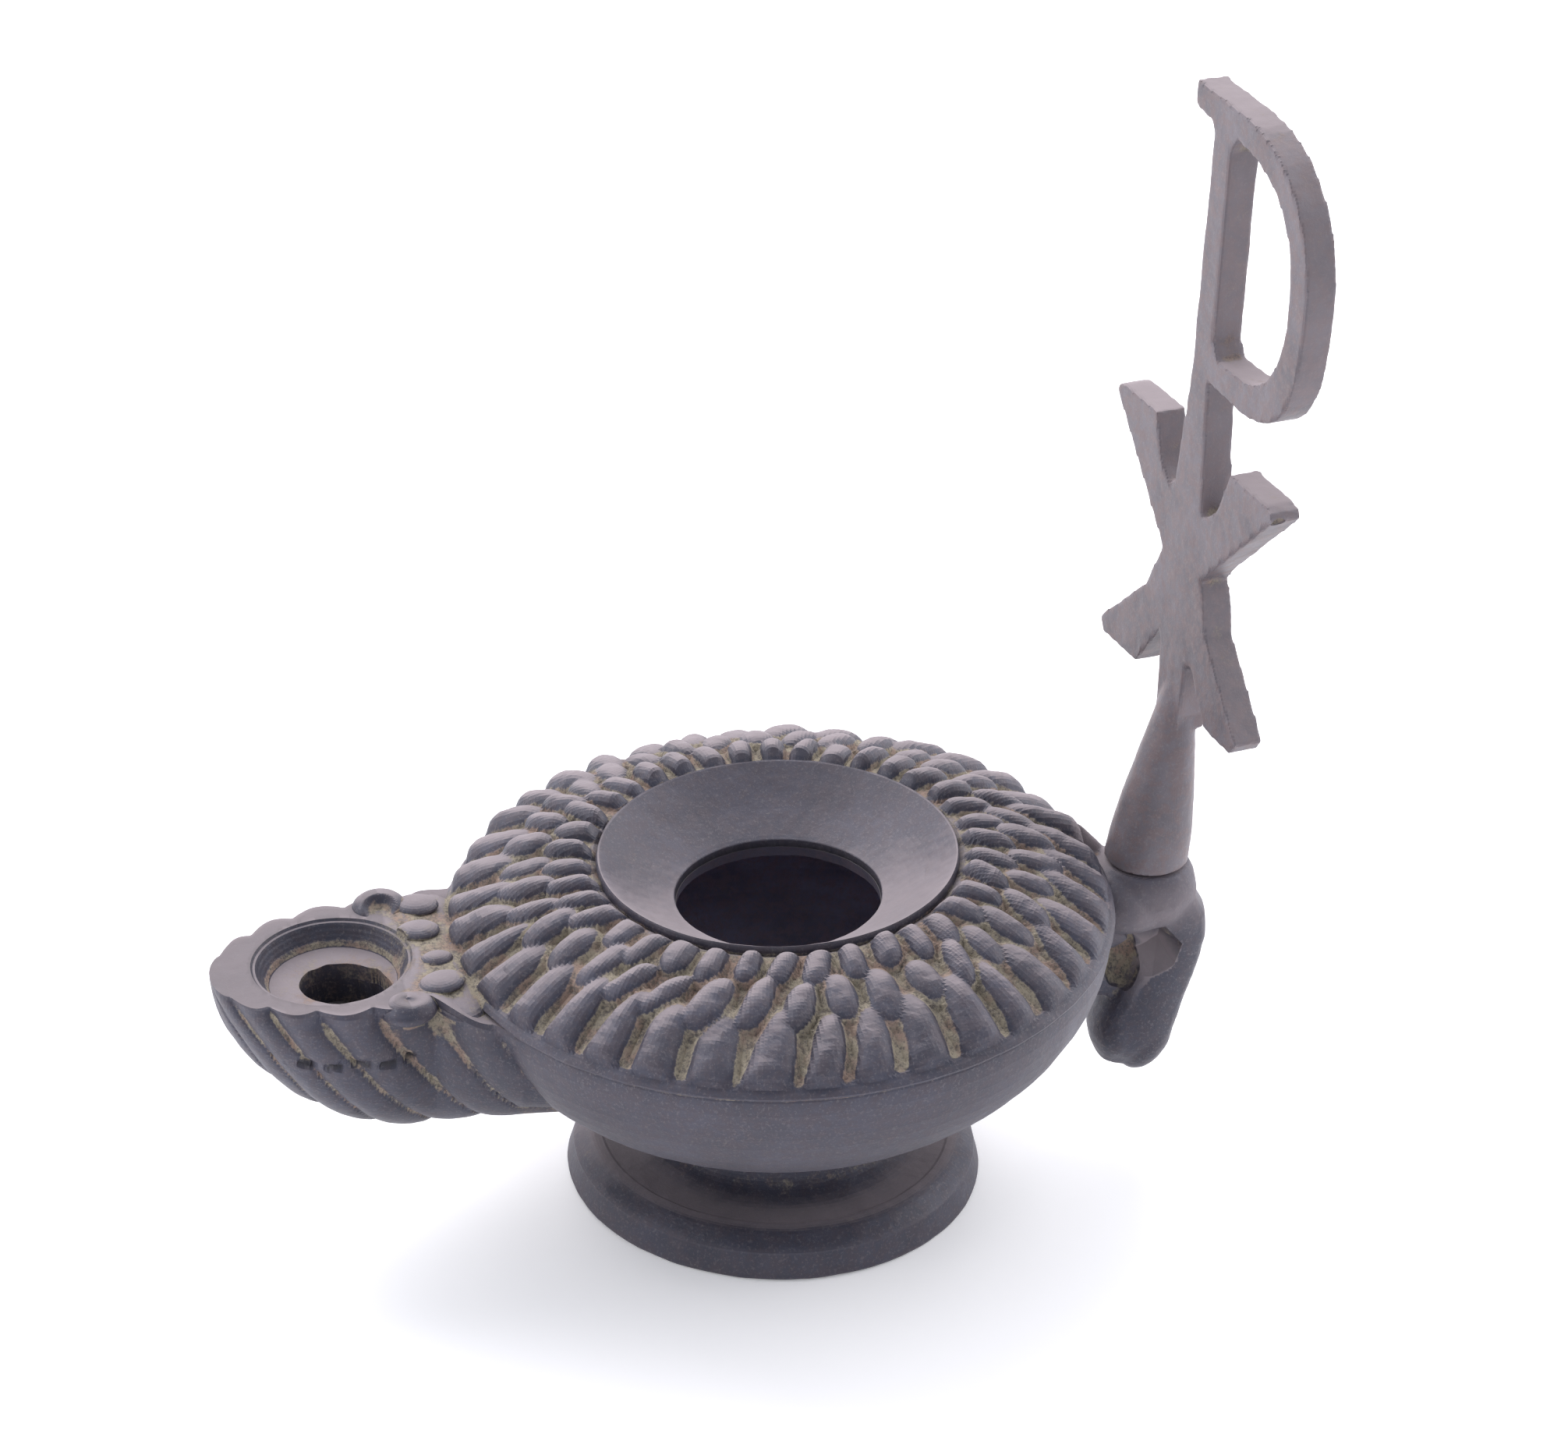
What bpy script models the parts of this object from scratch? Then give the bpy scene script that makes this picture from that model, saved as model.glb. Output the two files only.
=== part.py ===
"""A cast bronze oil lamp of late Roman kind, in metres, +Z up.

The lamp stands on its foot, with the nozzle towards -X and the handle towards +X. The bowl, nozzle,
foot and handle are one hollow casting. The chi-rho finial is a second casting that stands on the handle.
"""

from math import cos, hypot, pi, radians, sin, sqrt

import bmesh
import bpy
from mathutils import Vector

# The bowl, measured in its own frame, whose axis is the turning axis of the wax.
BOWL_RADIUS = 0.0414
SEAM_HEIGHT = 0.0373
BOWL_DEPTH = 0.0265
WALL = 0.0028
LEAN_DEGREES = 2.36
LEAN_HEIGHT = 0.030

# The dished disc with the filling hole, and the thin lip round it.
HOLE_RADIUS = 0.0128
HOLE_HEIGHT = 0.0396
DISC_RADIUS = 0.0222
DISC_HEIGHT = 0.0457
LIP_WIDTH = 0.0013
LIP_STEP = 0.0012
DISC_WALL = 0.0022

# Three rows of bosses cover the shell between the disc and the seam.
BOSS_COUNT = 38
INNER_ROW_LENGTH = 0.0060
MIDDLE_ROW_LENGTH = 0.0062
OUTER_ROW_LENGTH = 0.0088
ROW_OVERLAP = 0.0009
BOSS_RISE = 0.0015
BOSS_FILL = 0.90
SHELL_CURVE = 1.7

# The flared foot ring.
FOOT_RADIUS = 0.0263
FOOT_LEDGE_RADIUS = 0.0255
FOOT_LEDGE_HEIGHT = 0.0035
FOOT_TOP_RADIUS = 0.0222
FOOT_TOP_HEIGHT = 0.0056
THROAT_RADIUS = 0.0152
THROAT_HEIGHT = 0.0094
FOOT_RIM_WIDTH = 0.0026
FOOT_WALL = 0.0030

# The nozzle, with gadrooned sides, a turned recess and the wick hole.
NOZZLE_LENGTH = 0.0288
NOZZLE_REACH = BOWL_RADIUS + NOZZLE_LENGTH
NOZZLE_WIDTH = 0.0262
NOZZLE_DEPTH = 0.0236
PROW_LENGTH = 0.0192
NOZZLE_WIDEST = NOZZLE_REACH - PROW_LENGTH
NECK_WIDTH = 0.0244
NECK_LENGTH = 0.0038
NECK_REACH = BOWL_RADIUS + NECK_LENGTH
NECK_FLARE = 0.80
RIM_HEIGHT = 0.0390
KEEL_RISE = 0.24
PROW_CURVE = 1.68
PROW_SHARPNESS = 1.30
GADROON_PITCH = 0.0068
GADROON_RISE = 0.0009
GADROON_SWEEP = 0.0150
RECESS_RADIUS = 0.0095
RECESS_DEPTH = 0.0030
RECESS_SETBACK = 0.0147
RECESS_REACH = NOZZLE_REACH - RECESS_SETBACK
WICK_RADIUS = 0.0050
WICK_OFFSET = 0.0010
WICK_REACH = RECESS_REACH - WICK_OFFSET
VOLUTE_RADIUS = 0.0027
VOLUTE_OFFSET = 0.0032
VOLUTE_REACH = NECK_REACH + VOLUTE_OFFSET
VOLUTE_SPREAD = 0.0120
NECK_BOSS_LENGTH = 0.0046
NECK_BOSS_WIDTH = 0.0034

# The curled handle and the small leaf tip behind it.
HANDLE_PROJECTION = 0.0143
HANDLE_REACH = BOWL_RADIUS + HANDLE_PROJECTION
HANDLE_THICKNESS = 0.0094
HANDLE_BREADTH = 0.0106
HANDLE_FOOT_HEIGHT = 0.0078
SEAT_RADIUS = 0.0056
SEAT_HEIGHT = 0.0390
WEB_THICKNESS = 0.0042
LEAF_HEIGHT = 0.0046
LEAF_WIDTH = 0.0034

# The finial, measured up from its seat on the handle.
JOINT_GAP = 0.0003
SEAT_OFFSET = 0.0060
FINIAL_REACH = BOWL_RADIUS + SEAT_OFFSET
FINIAL_TURN_DEGREES = 9.1
FINIAL_LEAN_DEGREES = 1.3
CONE_RADIUS = 0.0053
CONE_HEIGHT = 0.0270
CONE_SETBACK = 0.0029
PLATE_THICKNESS = 0.0040
STEM_WIDTH = 0.0041
STEM_FOOT_WIDTH = 0.0054
FINIAL_HEIGHT = 0.1010
RHO_REACH = 0.0216
RHO_DROP = 0.0348
RHO_BAND = 0.0038
SERIF_REACH = 0.0068
SERIF_DEPTH = 0.0032
CHI_FOOT_HEIGHT = 0.0234
CHI_HEIGHT = 0.0344
CHI_SPREAD = 0.0193
CHI_GAP = 0.0090
CHI_WAIST = 0.0049
CHI_CROTCH = 0.0084
CHI_SHORT_ARM = 0.0022

SHELL_SAMPLES = 4
FOOT_SIDES = 40
HULL_SIDES = 16
BRONZE = (0.105, 0.088, 0.092, 1.0)


def clear_scene():
    for old in list(bpy.data.objects):
        bpy.data.objects.remove(old, do_unlink=True)


def bronze(name, roughness):
    material = bpy.data.materials.new(name)
    material.use_nodes = True
    shader = material.node_tree.nodes["Principled BSDF"]
    shader.inputs["Base Color"].default_value = BRONZE
    shader.inputs["Metallic"].default_value = 0.6
    shader.inputs["Roughness"].default_value = roughness
    return material


def frame_empty(name, parent, location, rotation=(0.0, 0.0, 0.0)):
    empty = bpy.data.objects.new(name, None)
    empty.parent = parent
    empty.location = location
    empty.rotation_euler = rotation
    bpy.context.scene.collection.objects.link(empty)
    return empty


def piece(name, mesh, parent, material=None):
    solid = bpy.data.objects.new(name, mesh)
    solid.parent = parent
    bpy.context.scene.collection.objects.link(solid)
    if material:
        mesh.materials.append(material)
    return solid


def helper(name, mesh, parent):
    """A body that only adds to, or cuts, another."""
    guide = piece(name, mesh, parent)
    guide.hide_render = True
    guide.display_type = "WIRE"
    return guide


def combine(target, operation, others):
    for other in others:
        change = target.modifiers.new(other.name, "BOOLEAN")
        change.operation = operation
        change.solver = "EXACT"
        change.object = other


def stitch(form, upper, lower):
    """Faces between two closed rings; the finer ring's count is a whole multiple of the other's."""
    if len(upper) < len(lower):
        upper, lower = lower, upper
    share = len(upper) // len(lower)
    for index, corner in enumerate(lower):
        after = lower[(index + 1) % len(lower)]
        first = index * share
        fine = [upper[(first + step) % len(upper)] for step in range(share + 1)]
        if len(lower) == 1:
            for step in range(share):
                form.faces.new((fine[step], fine[step + 1], corner))
            continue
        half = (share + 1) // 2
        for step in range(share):
            apex = corner if step < half else after
            form.faces.new((fine[step], fine[step + 1], apex))
        form.faces.new((fine[half], after, corner))


def loft(name, rings):
    """A closed body through rings of points. A ring of one point is a pole; other ends are capped."""
    form = bmesh.new()
    rows = [[form.verts.new(point) for point in ring] for ring in rings]
    for upper, lower in zip(rows, rows[1:]):
        stitch(form, upper, lower)
    for end in (rows[0], rows[-1]):
        if len(end) > 1:
            form.faces.new(end)
    bmesh.ops.recalc_face_normals(form, faces=form.faces)
    mesh = bpy.data.meshes.new(name)
    form.to_mesh(mesh)
    form.free()
    mesh.shade_smooth()
    mesh.set_sharp_from_angle(angle=radians(38))
    return mesh


def circle(radius, height, count):
    if radius == 0.0:
        return [Vector((0.0, 0.0, height))]
    steps = [2 * pi * index / count for index in range(count)]
    return [Vector((radius * cos(a), radius * sin(a), height)) for a in steps]


def between(low, high, share):
    return low + (high - low) * share


def curve_points(start, pull_start, pull_end, end, count):
    """Points after start along a cubic curve that ends at end."""
    points = []
    for step in range(1, count + 1):
        t = step / count
        weights = ((1 - t) ** 3, 3 * t * (1 - t) ** 2, 3 * t * t * (1 - t), t**3)
        corners = (start, pull_start, pull_end, end)
        points.append(tuple(sum(w * c[k] for w, c in zip(weights, corners)) for k in (0, 1)))
    return points


def shell_start():
    """Where the shell leaves the side of the lip, as radius and height."""
    return DISC_RADIUS + 0.0002, DISC_HEIGHT - LIP_STEP


def shell_height(radius):
    """The shell's own surface, in the valleys between its bosses."""
    start, top = shell_start()
    share = max(0.0, (radius - start) / (BOWL_RADIUS - start))
    return top - (top - SEAM_HEIGHT) * share**SHELL_CURVE


def boss_rows():
    """Each row's middle radius, half length and shift along the ring in pitches."""
    rows = []
    start = shell_start()[0] + 0.0007
    for number, length in enumerate((INNER_ROW_LENGTH, MIDDLE_ROW_LENGTH, OUTER_ROW_LENGTH)):
        rows.append((start + length / 2, length / 2, 0.5 * (number % 2)))
        start += length - ROW_OVERLAP
    return rows


def boss_rise(radius, angle):
    pitch = 2 * pi / BOSS_COUNT
    rise = 0.0
    for middle, half_length, shift in boss_rows():
        off_middle = ((angle / pitch + shift + 0.5) % 1.0 - 0.5) * pitch * radius
        half_width = BOSS_FILL * pitch * middle / 2
        dome = 1 - ((radius - middle) / half_length) ** 2 - (off_middle / half_width) ** 2
        if dome > 0:
            rise = max(rise, BOSS_RISE * sqrt(dome))
    return rise


def shell_ring(radius, count):
    """One ring of the bossed shell; each boss stands square to the surface below it."""
    small = 0.0005
    slope = (shell_height(radius + small) - shell_height(radius - small)) / (2 * small)
    outward = -slope / hypot(1, slope)
    upward = 1 / hypot(1, slope)
    ring = []
    for index in range(count):
        angle = 2 * pi * index / count
        rise = boss_rise(radius, angle)
        reach = min(radius + outward * rise, BOWL_RADIUS)
        height = shell_height(radius) + upward * rise
        ring.append(Vector((reach * cos(angle), reach * sin(angle), height)))
    return ring


def bowl_point(share, inset=0.0):
    """Radius and height on the bowl's underside; share 0 is the seam and 1 the bottom."""
    angle = share * pi / 2
    reach = (BOWL_RADIUS - inset) * cos(angle)
    height = SEAM_HEIGHT - (BOWL_DEPTH - inset) * sin(angle)
    return reach, height


def make_bowl_mesh():
    """The outside of the bowl, solid: the disc dips to the filling hole and the bosses ring it."""
    fine = BOSS_COUNT * SHELL_SAMPLES
    plain = BOSS_COUNT * 2
    rings = [circle(0.0, HOLE_HEIGHT - 0.002, 1)]
    rings.append(circle(HOLE_RADIUS * 0.8, HOLE_HEIGHT - 0.002, plain))
    rings.append(circle(HOLE_RADIUS, HOLE_HEIGHT, plain))
    halfway = between(HOLE_RADIUS, DISC_RADIUS - LIP_WIDTH, 0.55)
    rings.append(circle(halfway, between(HOLE_HEIGHT, DISC_HEIGHT, 0.50), plain))
    rings.append(circle(DISC_RADIUS - LIP_WIDTH, DISC_HEIGHT, plain))
    rings.append(circle(DISC_RADIUS, DISC_HEIGHT - LIP_WIDTH * 0.2, plain))
    rings.append(circle(*shell_start(), plain))
    stops = [m + half * part for m, half, _ in boss_rows() for part in (-0.8, -0.35, 0.35, 0.8)]
    stops = sorted(stop for stop in stops if stop < BOWL_RADIUS - 0.0004)
    rings += [shell_ring(stop, fine) for stop in stops]
    for step in range(6):
        rings.append(circle(*bowl_point(step / 6.6), plain))
    rings.append(circle(0.0, SEAM_HEIGHT - BOWL_DEPTH, 1))
    return loft("bowl", rings)


def make_cavity_mesh():
    """The room inside the bowl and the filling hole above it."""
    plain = BOSS_COUNT * 2
    under = DISC_HEIGHT - DISC_WALL
    rings = [circle(0.0, DISC_HEIGHT + 0.004, 1)]
    rings.append(circle(HOLE_RADIUS, DISC_HEIGHT + 0.004, plain))
    rings.append(circle(HOLE_RADIUS, HOLE_HEIGHT - DISC_WALL, plain))
    rings.append(circle(DISC_RADIUS, shell_height(DISC_RADIUS + 0.002) - WALL, BOSS_COUNT))
    for share in (0.45, 0.85):
        radius = between(DISC_RADIUS, BOWL_RADIUS - WALL, share)
        rings.append(circle(radius, min(under, shell_height(radius)) - WALL, BOSS_COUNT))
    for step in (0.5, 2, 3.4, 4.8, 6.2):
        rings.append(circle(*bowl_point(step / 7.4, WALL), BOSS_COUNT))
    rings.append(circle(0.0, SEAM_HEIGHT - BOWL_DEPTH + WALL, 1))
    return loft("bowl_cavity", rings)


def make_foot_mesh():
    """The foot ring: a flared band, a rounded ledge and a hollow throat that runs into the bowl."""
    bury = SEAM_HEIGHT - BOWL_DEPTH + THROAT_RADIUS**2 / (2 * BOWL_RADIUS) + WALL * 0.45
    inner = THROAT_RADIUS - FOOT_WALL
    outline = [
        (inner, bury),
        (THROAT_RADIUS, bury),
        (between(THROAT_RADIUS, FOOT_TOP_RADIUS, 0.18), between(FOOT_TOP_HEIGHT, THROAT_HEIGHT, 0.55)),
        (between(THROAT_RADIUS, FOOT_TOP_RADIUS, 0.55), between(FOOT_TOP_HEIGHT, THROAT_HEIGHT, 0.10)),
        (FOOT_TOP_RADIUS, FOOT_TOP_HEIGHT),
        (FOOT_LEDGE_RADIUS - 0.0008, FOOT_LEDGE_HEIGHT + 0.0007),
        (FOOT_LEDGE_RADIUS, FOOT_LEDGE_HEIGHT),
        (FOOT_RADIUS, 0.0008),
        (FOOT_RADIUS, 0.0),
        (FOOT_RADIUS - FOOT_RIM_WIDTH, 0.0),
        (between(inner, FOOT_RADIUS - FOOT_RIM_WIDTH, 0.5), FOOT_TOP_HEIGHT - FOOT_WALL),
        (inner, THROAT_HEIGHT - FOOT_WALL),
    ]
    form = bmesh.new()
    rows = [[form.verts.new(p) for p in circle(r, z, FOOT_SIDES)] for r, z in outline]
    for upper, lower in zip(rows, rows[1:] + rows[:1]):
        stitch(form, upper, lower)
    bmesh.ops.recalc_face_normals(form, faces=form.faces)
    mesh = bpy.data.meshes.new("foot")
    form.to_mesh(mesh)
    form.free()
    mesh.shade_smooth()
    mesh.set_sharp_from_angle(angle=radians(38))
    return mesh


def hull_half_width(reach):
    """Half the nozzle's width at a distance from the lamp's axis: a pointed arch, a neck, a flare."""
    if reach > NOZZLE_WIDEST:
        share = (reach - NOZZLE_WIDEST) / (NOZZLE_REACH - NOZZLE_WIDEST)
        return NOZZLE_WIDTH / 2 * sqrt(max(0.0, 1 - share**2))
    if reach > NECK_REACH:
        share = (NOZZLE_WIDEST - reach) / (NOZZLE_WIDEST - NECK_REACH)
        return between(NOZZLE_WIDTH, NECK_WIDTH, share * share * (3 - 2 * share)) / 2
    return NECK_WIDTH / 2 + NECK_FLARE * (NECK_REACH - reach)


def hull_depth(reach):
    """How far the keel lies below the rim; the prow rises to a point at the tip."""
    if reach < NECK_REACH:
        return NOZZLE_DEPTH - KEEL_RISE * (NECK_REACH - reach)
    share = (reach - NECK_REACH) / (NOZZLE_REACH - NECK_REACH)
    return NOZZLE_DEPTH * sqrt(max(0.0, 1 - share**PROW_CURVE))


def hull_top(reach):
    """The rim is level; behind the volutes the top slopes down into the shell."""
    share = min(1.0, max(0.0, (NECK_REACH - reach) / (NECK_REACH - BOWL_RADIUS + WALL)))
    return between(RIM_HEIGHT, SEAM_HEIGHT - 0.0004, share * share * (3 - 2 * share))


def hull_station(reach, sides, inset=0.0, carved=True):
    """One U-shaped section of the nozzle, closed across its flat top."""
    half = hull_half_width(reach) - inset
    top = hull_top(reach)
    depth = hull_depth(reach) - inset - (RIM_HEIGHT - top)
    square = between(0.92, PROW_SHARPNESS, max(0.0, (reach - NOZZLE_WIDEST) / (NOZZLE_REACH - NOZZLE_WIDEST)) ** 2)
    ring = []
    for index in range(sides + 1):
        turn = pi * index / sides
        across = abs(cos(turn)) ** square * (1 if turn < pi / 2 else -1)
        down = sin(turn) ** square
        rise = 0.0
        if carved:
            phase = (reach + GADROON_SWEEP * down**1.3 - NECK_REACH) / GADROON_PITCH
            lobe = abs(cos(pi * phase))
            fade = min(1.0, half / (NOZZLE_WIDTH / 3))
            rise = GADROON_RISE * (sqrt(lobe) - 1) * fade
        ring.append(Vector((-reach, across * (half + rise), top - down * (depth + rise))))
    return ring


def make_hull_mesh():
    """The outside of the nozzle. Gadroons slant down and back from the rim to the keel."""
    tip = Vector((-NOZZLE_REACH, 0.0, RIM_HEIGHT - 0.0002))
    rings = [[tip]]
    root = BOWL_RADIUS * 0.55
    step = GADROON_PITCH / 4
    reach = NOZZLE_REACH - step * 0.18
    rings.append(hull_station(reach, HULL_SIDES))
    reach -= step * 0.45
    while reach > BOWL_RADIUS - 2 * WALL:
        rings.append(hull_station(reach, HULL_SIDES))
        reach -= step
    rings.append(hull_station(root, HULL_SIDES))
    return loft("nozzle_hull", rings)


def make_bore_mesh():
    """The channel inside the nozzle, from the wick end into the bowl."""
    root = BOWL_RADIUS - 5 * WALL
    lid = RECESS_DEPTH + WALL * 0.8
    rings = []
    for step in range(8):
        reach = between(NOZZLE_REACH - 2.6 * WALL, root, step / 7)
        ring = hull_station(reach, 12, WALL * (1.1 if reach > NECK_REACH else 1.3), carved=False)
        roof = RIM_HEIGHT - lid
        rings.append([Vector((p.x, p.y, min(p.z, roof))) for p in ring[1:-1]])
    return loft("nozzle_bore", rings)


def make_plug_mesh(name, radius, reach, low, high, sides):
    """An upright round cutter at a distance along the nozzle."""
    shift = Vector((-reach, 0.0, 0.0))
    return loft(name, [[p + shift for p in circle(radius, z, sides)] for z in (high, low)])


def make_dome_mesh(name, centre, half_sizes, turn=0.0, sides=8):
    """A whole egg of given half sizes, turned about +Z."""
    rings = []
    for latitude in (90, 52, 18, -25, -90):
        flat = cos(radians(latitude))
        height = sin(radians(latitude)) * half_sizes[2]
        ring = []
        for point in circle(1.0 if abs(latitude) < 90 else 0.0, 0.0, sides):
            x = point.x * flat * half_sizes[0]
            y = point.y * flat * half_sizes[1]
            turned = (x * cos(turn) - y * sin(turn), x * sin(turn) + y * cos(turn), height)
            ring.append(Vector(turned) + Vector(centre))
        rings.append(ring)
    return loft(name, rings)


def handle_sections():
    """Middle line of the curled handle in the XZ plane, with half thickness and half breadth."""
    outer = HANDLE_REACH
    half = HANDLE_THICKNESS / 2
    side = HANDLE_BREADTH / 2
    low = HANDLE_FOOT_HEIGHT
    top = SEAT_HEIGHT
    return [
        (BOWL_RADIUS - half * 1.06, top - half * 1.49, half * 1.2, side),
        (BOWL_RADIUS + half * 0.21, top - half * 1.23, half * 1.2, side),
        (outer - half * 1.89, top - half * 0.96, half * 0.95, side * 1.05),
        (outer - half * 1.02, between(low, top, 0.74), half, side),
        (outer - half * 1.15, between(low, top, 0.52), half * 0.96, side * 0.92),
        (outer - half * 1.45, between(low, top, 0.40), half * 1.04, side * 0.92),
        (outer - half * 1.77, between(low, top, 0.27), half * 1.12, side),
        (outer - half * 2.00, between(low, top, 0.16), half * 1.02, side * 0.9),
        (outer - half * 2.13, between(low, top, 0.058), half * 0.6, side * 0.5),
    ]


def make_handle_mesh():
    """The handle: rounded sections square to its curling middle line."""
    sections = handle_sections()
    rings = []
    for index, (x, z, half, side) in enumerate(sections):
        before = sections[max(index - 1, 0)]
        after = sections[min(index + 1, len(sections) - 1)]
        along = Vector((after[0] - before[0], 0.0, after[1] - before[1])).normalized()
        square = Vector((-along.z, 0.0, along.x))
        ring = []
        for corner in circle(1.0, 0.0, 14):
            soft = 1.0 / max(abs(corner.x), abs(corner.y)) ** 0.35
            spot = square * (corner.x * half * soft) + Vector((0.0, corner.y * side * soft, 0.0))
            ring.append(Vector((x, 0.0, z)) + spot)
        rings.append(ring)
    return loft("handle", rings)


def make_web_mesh():
    """The thin web that closes the curl against the bowl."""
    outer = HANDLE_REACH - HANDLE_THICKNESS * 0.7
    inner = BOWL_RADIUS - 0.0060
    low = between(HANDLE_FOOT_HEIGHT, SEAT_HEIGHT, 0.36)
    high = SEAT_HEIGHT - HANDLE_THICKNESS * 0.63
    corners = [(inner, high), (outer, high), (outer, low), (BOWL_RADIUS + 0.0003, low + 0.0012)]
    corners.append((inner, between(low, high, 0.35)))
    half = WEB_THICKNESS / 2
    rings = [[Vector((x, y, z)) for x, z in corners] for y in (half, -half)]
    return loft("handle_web", rings)


def make_seat_mesh():
    """The round boss on the handle that the finial stands on."""
    low = SEAT_HEIGHT - HANDLE_THICKNESS
    rings = [circle(SEAT_RADIUS, SEAT_HEIGHT, 20)]
    rings.append(circle(SEAT_RADIUS * 1.12, SEAT_HEIGHT - 0.0028, 20))
    rings.append(circle(SEAT_RADIUS * 0.85, low, 20))
    shift = Vector((FINIAL_REACH, 0.0, 0.0))
    return loft("seat", [[point + shift for point in ring] for ring in rings])


def make_leaf_mesh():
    """The small pointed leaf that stands behind the handle's root."""
    foot = Vector((BOWL_RADIUS + 0.0004, HANDLE_BREADTH * 0.42, SEAT_HEIGHT - 0.0030))
    tip = foot + Vector((-0.0010, 0.0004, LEAF_HEIGHT + 0.0021))
    half = LEAF_WIDTH / 2
    shapes = ((1.30, 0.0), (1.20, 0.45), (0.85, 0.80))
    rings = []
    for size, share in shapes:
        middle = foot.lerp(tip, share)
        rings.append([middle + Vector((p.x * half, p.y * half * 0.55, 0.0)) * size for p in circle(1, 0, 8)])
    rings.append([tip])
    return loft("leaf_tip", rings)


def chi_half(shortfall):
    """One side of the X from its upper crotch to its lower one; the shortfall narrows its lower arm."""
    foot = CHI_FOOT_HEIGHT
    head = foot + CHI_HEIGHT
    waist = foot + CHI_HEIGHT * 0.525
    stem = STEM_FOOT_WIDTH / 2 + 0.0008
    top_crotch = (stem, head - CHI_CROTCH)
    low_crotch = (stem, foot + CHI_CROTCH * 0.9)
    top_inner = (CHI_GAP, head)
    low_inner = (CHI_GAP, foot)
    pull = (CHI_GAP * 0.78, head - CHI_CROTCH * 0.72)
    push = (CHI_GAP * 0.72, foot + CHI_CROTCH * 0.42)
    line = [top_crotch]
    line += curve_points(top_crotch, pull, pull, top_inner, 4)
    line += [(CHI_SPREAD * 0.90, head), (CHI_SPREAD * 0.98, head - 0.0005), (CHI_SPREAD, head - 0.0014)]
    line += [(CHI_WAIST + 0.0012, waist + 0.0016), (CHI_WAIST, waist), (CHI_WAIST + 0.0008, waist - 0.0017)]
    line += [(CHI_SPREAD * 0.42 - shortfall * 0.4, foot + CHI_HEIGHT * 0.335)]
    line += [(CHI_SPREAD * 0.97 - shortfall, foot + 0.0016), (CHI_SPREAD * 0.91 - shortfall, foot)]
    line += [low_inner]
    line += curve_points(low_inner, push, push, low_crotch, 4)
    return line


def rho_outer():
    """The bowl of the P, from its lower crotch on the stem round to the top of the stem."""
    head = FINIAL_HEIGHT
    low = head - RHO_DROP
    stem = STEM_WIDTH / 2
    widest = (RHO_REACH, low + RHO_DROP * 0.47)
    line = [(stem, low + 0.0004)]
    bottom = (stem + 0.0072, low)
    line.append(bottom)
    line += curve_points(bottom, (RHO_REACH * 0.86, low - 0.0002), (RHO_REACH, low + RHO_DROP * 0.15), widest, 7)
    top = (stem + 0.0024, head - 0.0004)
    line += curve_points(widest, (RHO_REACH, head - RHO_DROP * 0.25), (RHO_REACH * 0.72, head - 0.0012), top, 9)
    return line


def rho_counter():
    """The opening inside the P."""
    head = FINIAL_HEIGHT - RHO_BAND
    low = FINIAL_HEIGHT - RHO_DROP + RHO_BAND
    left = STEM_WIDTH / 2
    right = RHO_REACH - RHO_BAND
    widest = (right, between(low, head, 0.46))
    line = [(left + 0.0003, low + 0.0018), (left + 0.0016, low)]
    start = (left + 0.0070, low + 0.0001)
    line.append(start)
    line += curve_points(start, (right * 0.84, low + 0.0004), (right, between(low, head, 0.18)), widest, 6)
    end = (left + 0.0042, head - 0.0003)
    line += curve_points(widest, (right, between(low, head, 0.80)), (right * 0.68, head - 0.0014), end, 7)
    line += [(left + 0.0012, head), (left, head - 0.0016)]
    return line


def stem_left():
    """The stem's other side, from the serif at its head to the upper crotch of the X."""
    half = STEM_WIDTH / 2
    head = FINIAL_HEIGHT
    return [
        (-SERIF_REACH, head),
        (-SERIF_REACH, head - SERIF_DEPTH * 0.85),
        (-SERIF_REACH * 0.76, head - SERIF_DEPTH * 1.05),
        (-half - 0.0009, head - SERIF_DEPTH * 1.12),
        (-half, head - SERIF_DEPTH * 1.5),
        (-half, head - RHO_DROP),
    ]


def make_plate_mesh():
    """The flat monogram: offsets to the viewer's right, heights above the seat, front towards -X."""
    right = chi_half(CHI_SHORT_ARM)
    left = [(-offset, height) for offset, height in reversed(chi_half(0.0))]
    foot = CONE_HEIGHT * 0.72
    half = STEM_FOOT_WIDTH / 2
    outline = right + [(half, foot), (-half, foot)] + left + stem_left()[::-1]
    outline += rho_outer()[::-1]
    sheet = bpy.data.curves.new("monogram", "CURVE")
    sheet.dimensions = "2D"
    sheet.fill_mode = "BOTH"
    sheet.extrude = PLATE_THICKNESS / 2
    for line in (outline, rho_counter()):
        spline = sheet.splines.new("POLY")
        spline.points.add(len(line) - 1)
        spline.use_cyclic_u = True
        for point, (offset, height) in zip(spline.points, line):
            point.co = (offset, height, 0.0, 1.0)
    drawing = bpy.data.objects.new("monogram", sheet)
    mesh = bpy.data.meshes.new_from_object(drawing)
    bpy.data.objects.remove(drawing)
    form = bmesh.new()
    form.from_mesh(mesh)
    bmesh.ops.remove_doubles(form, verts=form.verts, dist=0.000005)
    bmesh.ops.triangulate(form, faces=form.faces)
    for corner in form.verts:
        offset, height, depth = corner.co
        corner.co = (CONE_SETBACK - depth, -offset, height)
    bmesh.ops.recalc_face_normals(form, faces=form.faces)
    form.to_mesh(mesh)
    form.free()
    return mesh


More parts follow.
